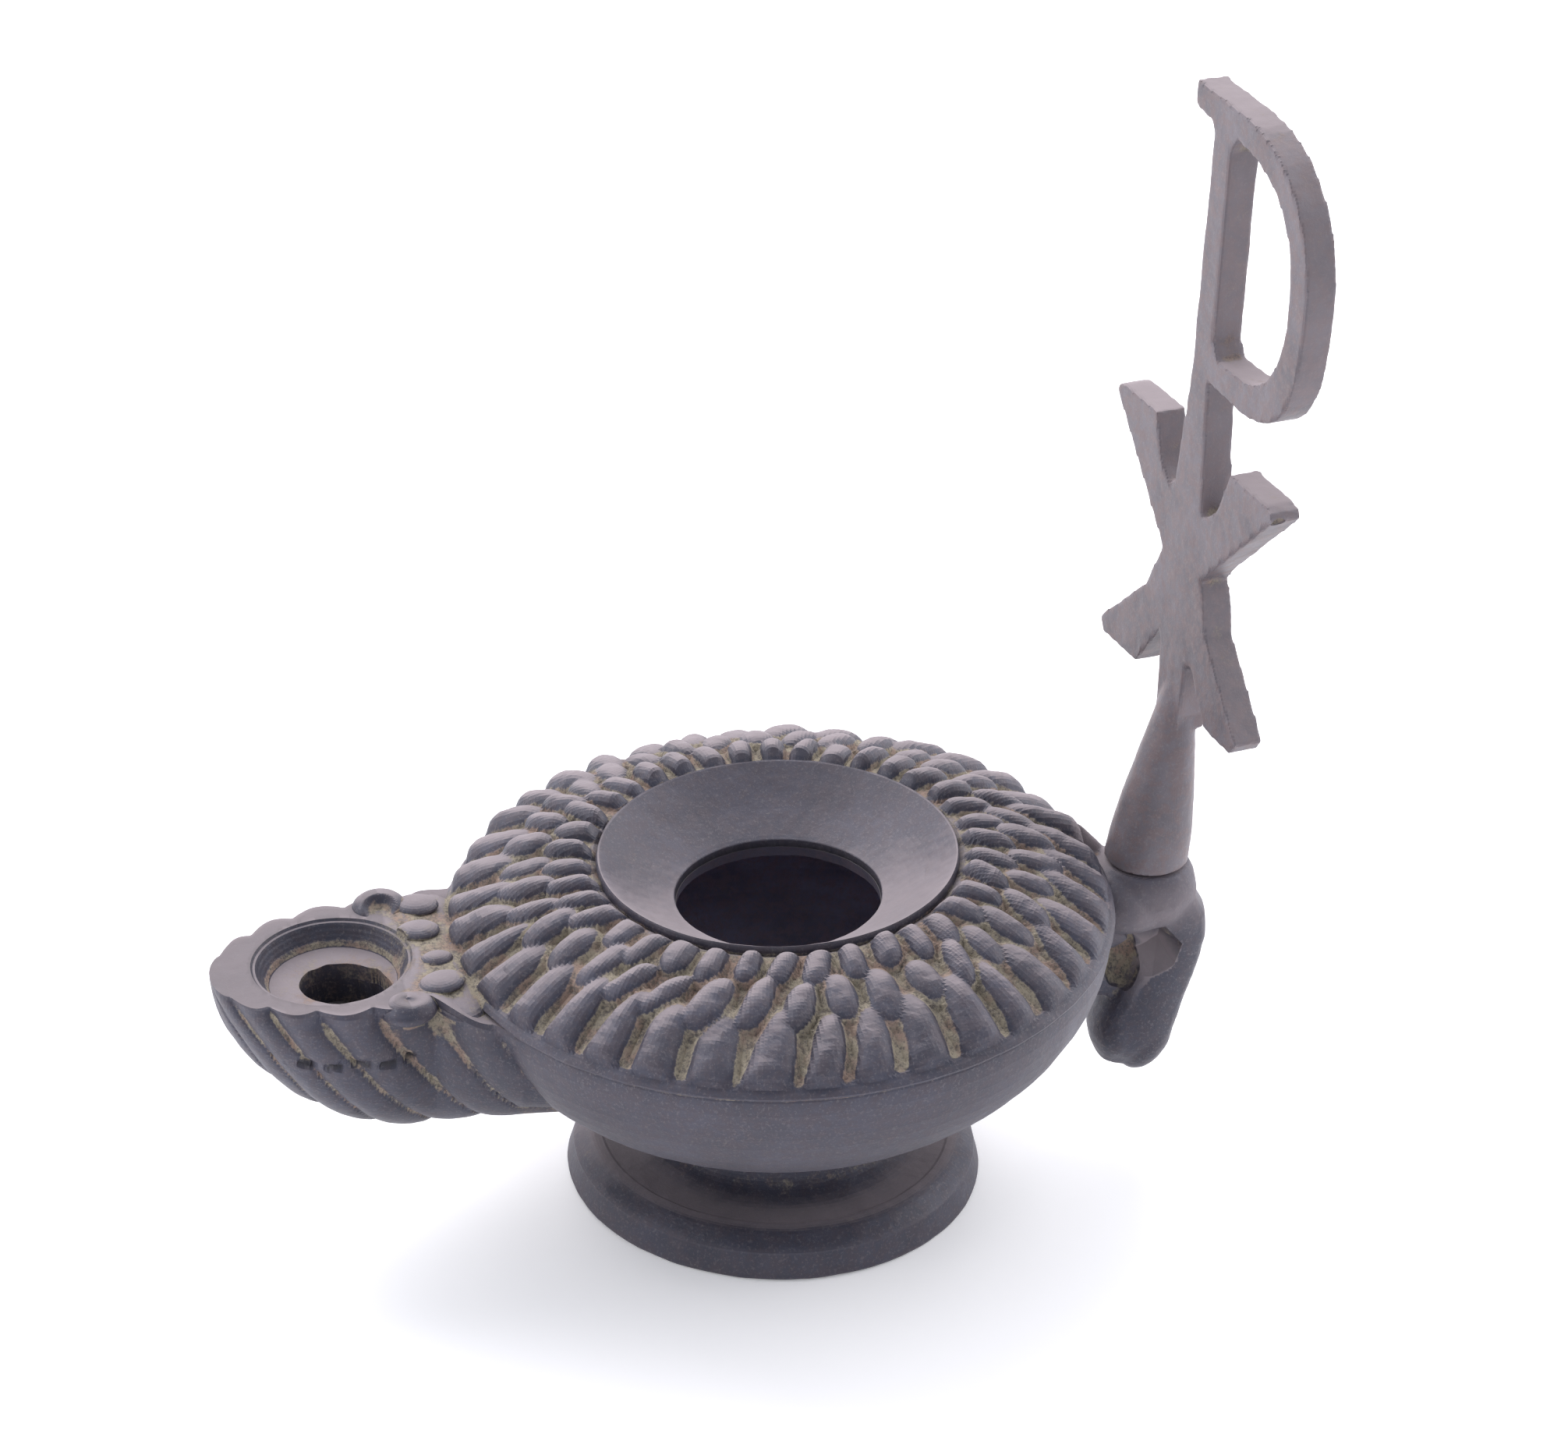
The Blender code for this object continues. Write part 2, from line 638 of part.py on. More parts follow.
def make_cone_mesh():
    """The round cone that flattens into the plate's stem as it rises."""
    rings = []
    for step in range(7):
        share = step / 6
        round_radius = CONE_RADIUS * (1 - 0.12 * share - 0.42 * share**1.7)
        height = JOINT_GAP + (CONE_HEIGHT - JOINT_GAP) * share
        deep = between(round_radius, PLATE_THICKNESS * 0.42, share**2.2)
        wide = between(round_radius, STEM_FOOT_WIDTH * 0.46, share**2.2)
        ring = []
        for point in circle(1.0, height, 24):
            ring.append(Vector((point.x * deep + CONE_SETBACK * share, point.y * wide, height)))
        rings.append(ring)
    return loft("finial_cone", rings)


def make_lamp_body(lamp_axis, bowl_frame):
    body = piece("lamp_body", make_bowl_mesh(), bowl_frame, bronze("lamp bronze", 0.48))
    added = [
        helper("nozzle_hull", make_hull_mesh(), bowl_frame),
        helper("foot_ring", make_foot_mesh(), lamp_axis),
        helper("handle_web", make_web_mesh(), lamp_axis),
        helper("handle", make_handle_mesh(), lamp_axis),
        helper("seat", make_seat_mesh(), lamp_axis),
        helper("leaf_tip", make_leaf_mesh(), lamp_axis),
    ]
    for side in (-1, 1):
        centre = (-VOLUTE_REACH, side * VOLUTE_SPREAD, RIM_HEIGHT - VOLUTE_RADIUS * 0.35)
        size = (VOLUTE_RADIUS, VOLUTE_RADIUS * 0.9, VOLUTE_RADIUS * 0.9)
        added.append(helper(f"volute_{'near' if side < 0 else 'far'}", make_dome_mesh("volute", centre, size), bowl_frame))
    for number in range(5):
        angle = pi + (number - 2) * radians(8.5)
        reach = NECK_REACH - 0.0012
        away = -reach * cos(angle)
        centre = (-away, reach * sin(angle), hull_top(away) + BOSS_RISE * 0.2)
        size = (NECK_BOSS_LENGTH / 2, NECK_BOSS_WIDTH / 2, BOSS_RISE)
        added.append(helper(f"neck_boss_{number}", make_dome_mesh("neck_boss", centre, size, angle), bowl_frame))
    combine(body, "UNION", added)
    floor = RIM_HEIGHT - RECESS_DEPTH
    removed = [
        helper("bowl_cavity", make_cavity_mesh(), bowl_frame),
        helper("nozzle_bore", make_bore_mesh(), bowl_frame),
        helper("recess", make_plug_mesh("recess", RECESS_RADIUS, RECESS_REACH, floor, RIM_HEIGHT + 0.004, 28), bowl_frame),
        helper(
            "wick_hole",
            make_plug_mesh("wick_hole", WICK_RADIUS, WICK_REACH, floor - 2 * WALL, RIM_HEIGHT + 0.002, 16),
            bowl_frame,
        ),
    ]
    combine(body, "DIFFERENCE", removed)


def make_finial(lamp_axis):
    turn = (radians(FINIAL_LEAN_DEGREES), 0.0, radians(FINIAL_TURN_DEGREES))
    seat = frame_empty("finial_seat", lamp_axis, (FINIAL_REACH, 0.0, SEAT_HEIGHT), turn)
    plate = piece("chi_rho_finial", make_plate_mesh(), seat, bronze("finial bronze", 0.42))
    combine(plate, "UNION", [helper("finial_cone", make_cone_mesh(), seat)])


clear_scene()
# The nozzle and the finial's loop reach unequally far, so the middle of the lamp lies off the foot's axis.
lean = radians(LEAN_DEGREES)
turn = radians(FINIAL_TURN_DEGREES)
nozzle_tip = NOZZLE_REACH * cos(lean) + (RIM_HEIGHT - LEAN_HEIGHT) * sin(lean)
loop_side = RHO_REACH + (FINIAL_HEIGHT - RHO_DROP / 2) * sin(radians(FINIAL_LEAN_DEGREES))
loop_back = FINIAL_REACH + (CONE_SETBACK + PLATE_THICKNESS / 2) * cos(turn) + loop_side * sin(turn)
axis = frame_empty("lamp_axis", None, ((nozzle_tip - loop_back) / 2, 0.0, 0.0))
# The bowl leans towards the nozzle about its own middle, while the foot stands level.
slip = (LEAN_HEIGHT * sin(lean), 0.0, LEAN_HEIGHT * (1 - cos(lean)))
leaning = frame_empty("bowl_frame", axis, slip, (0.0, -lean, 0.0))
make_lamp_body(axis, leaning)
make_finial(axis)
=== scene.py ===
"""The looks of a cast bronze lamp of late Roman kind, with a chi-rho on its handle.

Lengths are in metres. The lamp's own axis runs up through the middle of its foot, the nozzle points
towards -X and the handle towards +X.
"""

from functools import partialmethod
from math import cos, hypot, pi, radians, sin, sqrt

import bmesh
import bpy
import numpy as np
from mathutils import Matrix, Vector, noise


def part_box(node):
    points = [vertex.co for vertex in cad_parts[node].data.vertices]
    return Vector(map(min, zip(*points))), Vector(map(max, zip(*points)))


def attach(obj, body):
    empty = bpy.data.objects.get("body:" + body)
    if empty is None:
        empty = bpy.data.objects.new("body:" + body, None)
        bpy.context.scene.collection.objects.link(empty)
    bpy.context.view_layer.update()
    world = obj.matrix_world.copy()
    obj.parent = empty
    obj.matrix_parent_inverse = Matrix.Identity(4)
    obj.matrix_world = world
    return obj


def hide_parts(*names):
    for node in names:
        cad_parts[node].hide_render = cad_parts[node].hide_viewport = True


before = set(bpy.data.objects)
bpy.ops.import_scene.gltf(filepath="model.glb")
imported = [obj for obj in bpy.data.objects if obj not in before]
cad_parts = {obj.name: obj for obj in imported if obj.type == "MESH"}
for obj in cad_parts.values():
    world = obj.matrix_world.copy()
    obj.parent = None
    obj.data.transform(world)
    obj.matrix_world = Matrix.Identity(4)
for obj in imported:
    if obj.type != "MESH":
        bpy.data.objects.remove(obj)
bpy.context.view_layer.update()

# The bowl with its dished disc and three rows of bosses. It is the middle of the one hollow casting,
# modelled in wax on a turning tool, so it is round about an axis that leans a little to the nozzle.
BOWL_RADIUS = 0.0414
SEAM_HEIGHT = 0.0373
BOWL_DEPTH = 0.0265
WALL = 0.0028
BOWL_LEAN = radians(2.36)
LEAN_HEIGHT = 0.030
HOLE_RADIUS = 0.0128
HOLE_HEIGHT = 0.0396
DISC_RADIUS = 0.0222
DISC_HEIGHT = 0.0457
LIP_STEP = 0.0009
SHELL_CURVE = 1.7
BOSS_COUNT = 38
BOSS_RISE = 0.0020
# Each row of bosses: middle radius, half length, shift in bosses, boldness.
BOSS_ROWS = ((0.0257, 0.0034, 0.0, 1.0), (0.0309, 0.0038, 0.5, 1.0), (0.0374, 0.0060, 0.0, 1.05))
SPOKES = BOSS_COUNT * 12
WELD = 0.000004
NOZZLE_REACH = 0.0702
RIM_HEIGHT = 0.0390

nozzle_tip = NOZZLE_REACH * cos(BOWL_LEAN) + (RIM_HEIGHT - LEAN_HEIGHT) * sin(BOWL_LEAN)
lamp_axis = Matrix.Translation((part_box("lamp_body")[0].x + nozzle_tip, 0.0, 0.0))
bowl_frame = (
    lamp_axis
    @ Matrix.Translation((0.0, 0.0, LEAN_HEIGHT))
    @ Matrix.Rotation(-BOWL_LEAN, 4, "Y")
    @ Matrix.Translation((0.0, 0.0, -LEAN_HEIGHT))
)


class Wire:
    """A node socket that takes part in sums, so that a formula reads as one."""

    def __init__(self, tree, socket):
        self.tree = tree
        self.socket = socket

    def node(self, kind, settings=None, values=None, output=0):
        made = self.tree.nodes.new(kind)
        for name, value in (settings or {}).items():
            setattr(made, name, value)
        for key, value in (values or {}).items():
            if isinstance(value, Wire):
                self.tree.links.new(value.socket, made.inputs[key])
            else:
                made.inputs[key].default_value = value
        return Wire(self.tree, made.outputs[output])

    def maths(self, operation, *others, clamp=False):
        values = dict(enumerate((self, *others)))
        settings = {"operation": operation, "use_clamp": clamp}
        return self.node("ShaderNodeMath", settings, values)

    __add__ = __radd__ = partialmethod(maths, "ADD")
    __sub__ = partialmethod(maths, "SUBTRACT")
    __mul__ = __rmul__ = partialmethod(maths, "MULTIPLY")
    __truediv__ = partialmethod(maths, "DIVIDE")
    __pow__ = partialmethod(maths, "POWER")

    def __rsub__(self, other):
        return self * -1.0 + other

    def clamp(self):
        return self.maths("ADD", 0.0, clamp=True)

    def root(self):
        return self.maths("MAXIMUM", 0.0).maths("SQRT")

    def ramp(self, low, high):
        """0 below low, 1 above high, and a smooth step between them."""
        settings = {"interpolation_type": "SMOOTHSTEP"}
        values = {"Value": self, "From Min": low, "From Max": high}
        return self.node("ShaderNodeMapRange", settings, values)


def linked(name, data):
    """An object in the scene that holds the given data."""
    held = bpy.data.objects.new(name, data)
    bpy.context.scene.collection.objects.link(held)
    return held


def geometry_tree(name, inputs):
    """An empty tree with named inputs, and a wire for each of them."""
    tree = bpy.data.node_groups.new(name, "GeometryNodeTree")
    tree.interface.new_socket("Geometry", in_out="INPUT", socket_type="NodeSocketGeometry")
    for label, value in inputs.items():
        kind = "Int" if isinstance(value, int) else "Float"
        socket = tree.interface.new_socket(label, in_out="INPUT", socket_type="NodeSocket" + kind)
        socket.default_value = value
    tree.interface.new_socket("Geometry", in_out="OUTPUT", socket_type="NodeSocketGeometry")
    start = tree.nodes.new("NodeGroupInput")
    return tree, {socket.name: Wire(tree, socket) for socket in start.outputs if socket.name}


def built(held):
    """The plain mesh that an object's modifiers make."""
    bpy.context.view_layer.update()
    ready = held.evaluated_get(bpy.context.evaluated_depsgraph_get())
    return bpy.data.meshes.new_from_object(ready)


def grow(name, mesh, tree, inputs, result):
    """Ends the tree, runs it on the mesh, and returns the plain mesh that it makes."""
    end = tree.nodes.new("NodeGroupOutput")
    real = result.node("GeometryNodeRealizeInstances", None, {0: result})
    cast = real.node("GeometryNodeSetMaterial", None, {"Geometry": real, "Material": patina})
    tree.links.new(cast.socket, end.inputs[0])
    pattern = linked(name, mesh)
    change = pattern.modifiers.new(name, "NODES")
    change.node_group = tree
    for item in tree.interface.items_tree:
        if item.in_out == "INPUT" and item.name in inputs:
            change[item.identifier] = inputs[item.name]
    made = built(pattern)
    bpy.data.objects.remove(pattern)
    return made


def unrolled(profile, rows, across):
    """A grid with a row for each point of a profile, each corner's place in its row, its row's number,
    and that point's X, Y and Z."""
    grid = profile.node("GeometryNodeMeshGrid", None, {0: 1.0, 1: 1.0, 2: rows, 3: across + 1})
    index = profile.node("GeometryNodeInputIndex")
    row = (index / (across + 1)).maths("FLOOR")
    spot = profile.node("GeometryNodeInputPosition")
    settings = {"data_type": "FLOAT_VECTOR", "domain": "POINT"}
    there = profile.node("GeometryNodeSampleIndex", settings, {0: profile, 1: spot, 2: row})
    return grid, index - row * (across + 1), row, parts_of(there)


def parts_of(vector):
    """A vector's X, Y and Z."""
    return [vector.node("ShaderNodeSeparateXYZ", None, {0: vector}, output=axis) for axis in (0, 1, 2)]


# Colours of the patina's marks. The pale metal also stands for painted light on surfaces that face up
# and back, the pale specks are partly painted glints, and the soot black also paints shade on the
# filling hole's wall.
PALE_METAL_AND_PAINTED_LIGHT = (0.275, 0.236, 0.250, 1.0)
PALE_SPECKS_AND_PAINTED_GLINTS = (0.270, 0.250, 0.255, 1.0)
GREY_EARTH = (0.285, 0.248, 0.190, 1.0)
RED_EARTH = (0.265, 0.190, 0.155, 1.0)
DARK_EARTH = (0.115, 0.100, 0.090, 1.0)
SOOT_AND_PAINTED_SHADE = (0.012, 0.011, 0.013, 1.0)


def bronze(name, clean, dusty, polish_and_light_gain):
    """Bronze under a dark patina that is paler where it was rubbed, and paler as painted light where it
    faces up and back.
    The mesh says with hollow and dust where earth lies, and with tone where it is darker, above 0, or
    paler, below 0;
    the darkening is soot, darkened flaws and painted shade, and the paling is partly painted light."""
    material = bpy.data.materials.new(name)
    material.use_nodes = True
    tree = material.node_tree
    shader = tree.nodes["Principled BSDF"]
    seed = Wire(tree, None)
    place = seed.node("ShaderNodeTexCoord", output=3)

    def cloud(scale, detail, rough=0.6):
        values = {"Vector": place, "Scale": scale, "Detail": detail, "Roughness": rough}
        return seed.node("ShaderNodeTexNoise", None, values)

    def mixed(share, first, second):
        values = {0: share, 6: first, 7: second}
        return seed.node("ShaderNodeMix", {"data_type": "RGBA"}, values, output=2)

    hollow, dust, tone = (
        seed.node("ShaderNodeAttribute", {"attribute_name": label}, output=2)
        for label in ("hollow", "dust", "tone")
    )
    skin = seed.node("ShaderNodeNewGeometry", output=1)
    # Painted light: how far the normal leans up and back, towards the lamps above and behind.
    painted_light_side = {0: skin, 1: (0.0, 0.5, 0.87)}
    lift = seed.node("ShaderNodeVectorMath", {"operation": "DOT_PRODUCT"}, painted_light_side, output=1)
    broad = cloud(90.0, 3.0)
    fine = cloud(700.0, 5.0, 0.7)
    grain = cloud(2600.0, 3.0, 0.75)
    base = mixed(broad.ramp(0.35, 0.68), clean, [c * 1.4 for c in clean[:3]] + [1.0])
    brown = [clean[0] * 1.5, clean[1] * 1.2, clean[2] * 1.05, 1.0]
    base = mixed(fine.ramp(0.42, 0.60) * 0.6, base, brown)
    # The paling is painted light where the surface faces up and back, and real rubbing on the crests;
    # the gain scales both.
    worn_and_painted_light = lift.ramp(0.53, 0.88) * (0.46 + broad * 0.56) + (hollow * -1.0).ramp(0.15, 0.9) * 0.09
    worn_and_painted_light = (worn_and_painted_light * polish_and_light_gain).maths("MAXIMUM", (tone * -1.0) * (0.7 + fine * 0.5)).clamp()
    base = mixed(worn_and_painted_light, base, PALE_METAL_AND_PAINTED_LIGHT)
    # Small pale specks: dust, and painted glints on the dark patina.
    base = mixed(grain.ramp(0.53, 0.66) * 0.20, base, PALE_SPECKS_AND_PAINTED_GLINTS)
    speck = grain * 0.55 + fine * 0.45
    spread = (speck - 0.5) * 1.3 + (cloud(330.0, 4.0) - 0.5) * 1.5
    packed = (dust + hollow.ramp(0.10, 0.80) * 0.5 + spread).ramp(0.26, 0.92) * dusty
    earth = mixed(cloud(210.0, 3.0).ramp(0.44, 0.60), GREY_EARTH, RED_EARTH)
    earth = mixed(speck.ramp(0.38, 0.56), DARK_EARTH, earth)
    base = mixed(packed.clamp(), base, earth)
    # Tone above 0 darkens towards black: soot at the nozzle, the flaws, and painted shade on the filling
    # hole's wall.
    base = mixed(tone.clamp(), base, SOOT_AND_PAINTED_SHADE)
    rough = (0.40 + broad * 0.10 + worn_and_painted_light * 0.36 + packed * 0.34 + fine * 0.08).clamp()
    metal = ((1.0 - packed) * (1.0 - tone.clamp()) * 0.22).clamp()
    height = fine * 0.6 + grain * (0.35 + packed * 0.9)
    values = {"Strength": 0.35, "Distance": 0.00022, "Height": height}
    bump = seed.node("ShaderNodeBump", None, values)
    ends = {"Base Color": base, "Roughness": rough, "Metallic": metal, "Normal": bump}
    for label, wire in ends.items():
        tree.links.new(wire.socket, shader.inputs[label])
    shader.inputs["Specular IOR Level"].default_value = 0.45
    return material


patina = bronze("patinated_bronze", (0.041, 0.041, 0.060, 1.0), 1.0, 1.0)


def between(low, high, share):
    return low + (high - low) * share


def eased(value, low, high):
    share = min(1.0, max(0.0, (value - low) / (high - low)))
    return share * share * (3 - 2 * share)


def shell_height(radius):
    """The shell's own surface, in the valleys between its bosses."""
    start = DISC_RADIUS + 0.0002
    top = DISC_HEIGHT - LIP_STEP
    share = max(0.0, (radius - start) / (BOWL_RADIUS - start))
    return top - (top - SEAM_HEIGHT) * share**SHELL_CURVE


def quarter_turn(radius, top, depth, steps):
    """The curve under a bowl, from below its widest place to its lowest."""
    angles = [step / steps * pi / 2 for step in range(1, steps)]
    return [(radius * cos(a), top - depth * sin(a)) for a in angles] + [(0.0, top - depth)]


def bowl_profile():
    """Radius and height from the middle of the filling hole over the shell and down under the bowl."""
    line = [(0.0, HOLE_HEIGHT - 0.0022), (HOLE_RADIUS * 0.7, HOLE_HEIGHT - 0.0022)]
    line += [(HOLE_RADIUS - 0.0001, HOLE_HEIGHT - 0.0010), (HOLE_RADIUS, HOLE_HEIGHT - 0.0001)]
    lip = DISC_RADIUS - 0.0003
    for step in range(15):
        share = step / 14
        dish = between(HOLE_HEIGHT, DISC_HEIGHT, share) - 0.00045 * sin(pi * share)
        line.append((between(HOLE_RADIUS + 0.0001, lip, share), dish))
    line += [(DISC_RADIUS - 0.0001, DISC_HEIGHT + 0.0001), (DISC_RADIUS, DISC_HEIGHT - 0.0001)]
    for height in (DISC_HEIGHT - 0.0005, DISC_HEIGHT - 0.0010, shell_height(DISC_RADIUS) - 0.0003):
        line.append((DISC_RADIUS + 0.0001, height))
    count = 46
    for step in range(1, count):
        radius = between(DISC_RADIUS + 0.0003, BOWL_RADIUS, step / count)
        line.append((radius, shell_height(radius)))
    for out, up in ((0.0001, 0.0001), (0.0, -0.0002), (-0.0005, -0.0004), (-0.0004, -0.0008)):
        line.append((BOWL_RADIUS + out, SEAM_HEIGHT + up))
    return line + quarter_turn(BOWL_RADIUS - 0.0002, SEAM_HEIGHT - 0.0006, BOWL_DEPTH - 0.0006, 20)


def make_bowl_mesh():
    """The outside of the bowl: a turned profile, with each boss raised square to the surface."""
    line = bowl_profile()
    profile = bpy.data.meshes.new("bowl_profile")
    profile.from_pydata([(r, 0.0, z) for r, z in line], [], [])
    sizes = {"Spokes": SPOKES, "Rings": len(line), "Bosses": BOSS_COUNT, "Rise": BOSS_RISE, "Seed": 4}
    tree, given = geometry_tree("bossed_bowl", sizes)
    seed = given["Geometry"]
    grid, spoke, _, (reach, _, level) = unrolled(seed, given["Rings"], given["Spokes"])
    turn = spoke / given["Spokes"] * (2 * pi)
    turned_values = {0: reach * turn.maths("COSINE"), 1: reach * turn.maths("SINE"), 2: level}
    turned = seed.node("ShaderNodeCombineXYZ", None, turned_values)
    plain = seed.node("GeometryNodeSetPosition", None, {0: grid, 2: turned})
    closed = seed.node("GeometryNodeMergeByDistance", None, {0: plain, 2: WELD})
    spot = seed.node("GeometryNodeInputPosition")

    def chance(number, row, low, high):
        """A value of its own for each boss."""
        values = {2: low, 3: high, 7: number + row * 100.0, 8: given["Seed"]}
        return seed.node("FunctionNodeRandomValue", {"data_type": "FLOAT"}, values, output=1)

    x, y, height = parts_of(spot)
    radius = (x * x + y * y).root()
    waver = seed.node("ShaderNodeTexNoise", None, {"Vector": spot, "Scale": 75.0, "Detail": 1.0})
    lumps = seed.node("ShaderNodeTexNoise", None, {"Vector": spot, "Scale": 420.0, "Detail": 2.0})
    turns = (y.maths("ARCTAN2", x) / (2 * pi) + 1.0) * given["Bosses"]
    turns = turns + (waver - 0.5) * 0.55 + (radius - 0.031) * 26.0
    rise = None
    for row, (middle, half_length, shift, boldness) in enumerate(BOSS_ROWS):
        nearest = (turns + (shift + 0.5)).maths("FLOOR")
        number = nearest.maths("MODULO", given["Bosses"])
        along = (radius - middle - chance(number, row + 3, -0.0006, 0.0006)) / half_length
        along = along * chance(number, row, 0.88, 1.10)
        lean = chance(number, row + 6, -0.14, 0.22)
        across = (turns + shift - nearest + along * lean) / chance(number, row + 9, 0.40, 0.47)
        if row == 2:
            along = along.maths("MINIMUM", 0.0)
        dome = 1.0 - along.maths("ABSOLUTE") ** 2.7 - across.maths("ABSOLUTE") ** 2.2
        tall = chance(number, row + 12, 0.80, 1.15) * boldness
        lobe = dome.maths("MAXIMUM", 0.0) ** 0.62 * tall
        rise = rise.maths("SMOOTH_MAX", lobe, 0.26) if rise else lobe
    ends = 1.0 - ((radius - (BOWL_RADIUS - 0.0030)) / 0.0021).maths("MAXIMUM", 0.0) ** 2.0
    band = radius.ramp(BOWL_RADIUS - 0.0022, BOWL_RADIUS - 0.0010) * 0.20
    rise = (rise * ends.root()).maths("SMOOTH_MAX", band, 0.12) * (lumps * 0.26 + 0.87)
    inner = radius.ramp(DISC_RADIUS, DISC_RADIUS + 0.0018)
    edge = (1.0 - ((radius - (BOWL_RADIUS - 0.0007)) / 0.0007).maths("MAXIMUM", 0.0) ** 2.0).root()
    on_shell = height.ramp(SEAM_HEIGHT - 0.0001, SEAM_HEIGHT + 0.0001) * inner * edge
    outward = seed.node("GeometryNodeInputNormal")
    move = {0: outward, 3: rise * given["Rise"] * on_shell}
    lifted = seed.node("ShaderNodeVectorMath", {"operation": "SCALE"}, move)
    bossed = seed.node("GeometryNodeSetPosition", None, {0: closed, 3: lifted})
    return grow("bowl", profile, tree, sizes, bossed)


def finished(name, form):
    """The plain mesh of a shape that has been worked on."""
    mesh = bpy.data.meshes.new(name)
    form.to_mesh(mesh)
    form.free()
    return mesh


def lofted(name, rings, looped=False):
    """A closed skin through rings of points. A ring of one point is a tip; other ends are capped."""
    form = bmesh.new()
    rows = [[form.verts.new(point) for point in ring] for ring in rings]
    for upper, lower in zip(rows, rows[1:] + (rows[:1] if looped else [])):
        sides = max(len(upper), len(lower))
        for index in range(sides):
            after = (index + 1) % sides
            corners = [upper[index % len(upper)], lower[index % len(lower)]]
            corners += [lower[after % len(lower)], upper[after % len(upper)]]
            form.faces.new(dict.fromkeys(corners))
    if not looped:
        for end in (rows[0], rows[-1]):
            if len(end) > 1:
                form.faces.new(end)
    bmesh.ops.recalc_face_normals(form, faces=form.faces)
    return finished(name, form)


def around(count):
    """The cosine and sine of even steps round a circle."""
    turns = [2 * pi * index / count for index in range(count)]
    return [(cos(turn), sin(turn)) for turn in turns]


def turned(name, outline, sides, looped=False):
    """A shape turned on the lathe from radius and height points."""
    rings = []
    for radius, height in outline:
        steps = around(sides if radius > 0.0 else 1)
        rings.append([Vector((radius * c, radius * s, height)) for c, s in steps])
    return lofted(name, rings, looped)


def make_cavity_mesh():
    """The empty room inside the bowl, and the filling hole above it."""
    line = [(0.0, DISC_HEIGHT + 0.004), (HOLE_RADIUS, DISC_HEIGHT + 0.004), (HOLE_RADIUS, HOLE_HEIGHT)]
    line.append((HOLE_RADIUS - 0.0002, HOLE_HEIGHT - 0.0008))
    line.append((HOLE_RADIUS, HOLE_HEIGHT - 0.0024))
    for step in range(8):
        radius = between(DISC_RADIUS, BOWL_RADIUS - WALL, step / 7)
        skin = min(DISC_HEIGHT - 0.0022, shell_height(radius))
        line.append((radius, skin - WALL * (1 + 0.1 * step / 7)))
    line += quarter_turn(BOWL_RADIUS - WALL, SEAM_HEIGHT - WALL * 1.1, BOWL_DEPTH - WALL * 2.1, 14)
    return turned("bowl_cavity", line, BOSS_COUNT * 4)


def shape(name, mesh, place, inside=False):
    """Holds a mesh, put in its place, as an object that can join or cut another."""
    mesh.transform(place)
    mesh.materials.clear()
    for finish in (patina, inner_bronze_painted_fill):
        mesh.materials.append(finish)
    for face in mesh.polygons:
        face.material_index = int(inside)
    return linked(name, mesh)


def settle(target):
    """Bakes an object's modifiers into its mesh."""
    mesh = built(target)
    target.modifiers.clear()
    target.data = mesh


def combine(target, operation, others):
    """Joins other closed shapes to the target, or cuts them from it, and removes them."""
    for other in others:
        change = target.modifiers.new(other.name, "BOOLEAN")
        change.operation = operation
        change.solver = "MANIFOLD"
        change.object = other
    settle(target)
    for other in others:
        bpy.data.objects.remove(other)


# The inside is painted far paler and bluer than the outer patina: painted fill light, standing in for
# light that reaches into the bowl.
inner_bronze_painted_fill = bronze("inner_bronze_painted_fill", (0.290, 0.270, 0.370, 1.0), 0.15, 0.0)
lamp = shape("lamp_body_cast", make_bowl_mesh(), bowl_frame)
bowl_cavity = shape("bowl_cavity", make_cavity_mesh(), bowl_frame, inside=True)

# The nozzle, cast in one with the bowl. Gadroons slant down and back from its flat rim to the keel, a
# stepped recess was turned in the rim, and the wick hole opens in the recess's floor.
NOZZLE_WIDTH = 0.0262
NOZZLE_DEPTH = 0.0236
NOZZLE_WIDEST = 0.0510
NECK_WIDTH = 0.0244
NECK_REACH = 0.0452
NECK_FLARE = 0.80
KEEL_RISE = 0.24
PROW_CURVE = 1.68
PROW_SHARPNESS = 1.30
GADROON_PITCH = 0.0068
GADROON_RISE = 0.0012
GADROON_START = 0.00315
GADROON_SWEEP = 0.0150
RECESS_RADIUS = 0.0095
RECESS_DEPTH = 0.0030
RECESS_REACH = 0.0555
WICK_RADIUS = 0.0050
WICK_REACH = 0.0545
HULL_AROUND = 120
DECK_SHARE = 0.22
# A broken line of small casting flaws along the near side, this far below the rim.
FLAW_DROP = 0.0078
FLAW_RATE = 2000.0
FLAW_DEPTH = 0.0005


def tip_share(reach):
    """0 at the nozzle's widest place and 1 at its tip."""
    return (reach - NOZZLE_WIDEST) / (NOZZLE_REACH - NOZZLE_WIDEST)


def hull_half_width(reach):
    if reach > NOZZLE_WIDEST:
        return NOZZLE_WIDTH / 2 * sqrt(max(0.0, 1 - tip_share(reach) ** 2))
    if reach > NECK_REACH:
        share = eased(NOZZLE_WIDEST - reach, 0.0, NOZZLE_WIDEST - NECK_REACH)
        return between(NOZZLE_WIDTH, NECK_WIDTH, share) / 2
    return NECK_WIDTH / 2 + NECK_FLARE * (NECK_REACH - reach)


def hull_depth(reach):
    if reach < NECK_REACH:
        return NOZZLE_DEPTH - KEEL_RISE * (NECK_REACH - reach)
    share = (reach - NECK_REACH) / (NOZZLE_REACH - NECK_REACH)
    return NOZZLE_DEPTH * sqrt(max(0.0, 1 - share**PROW_CURVE))


def hull_top(reach):
    """The rim is level; behind the volutes the top slopes down into the shell."""
    share = eased(NECK_REACH - reach, 0.0, NECK_REACH - BOWL_RADIUS + WALL)
    return between(RIM_HEIGHT, SEAM_HEIGHT - 0.0004, share)


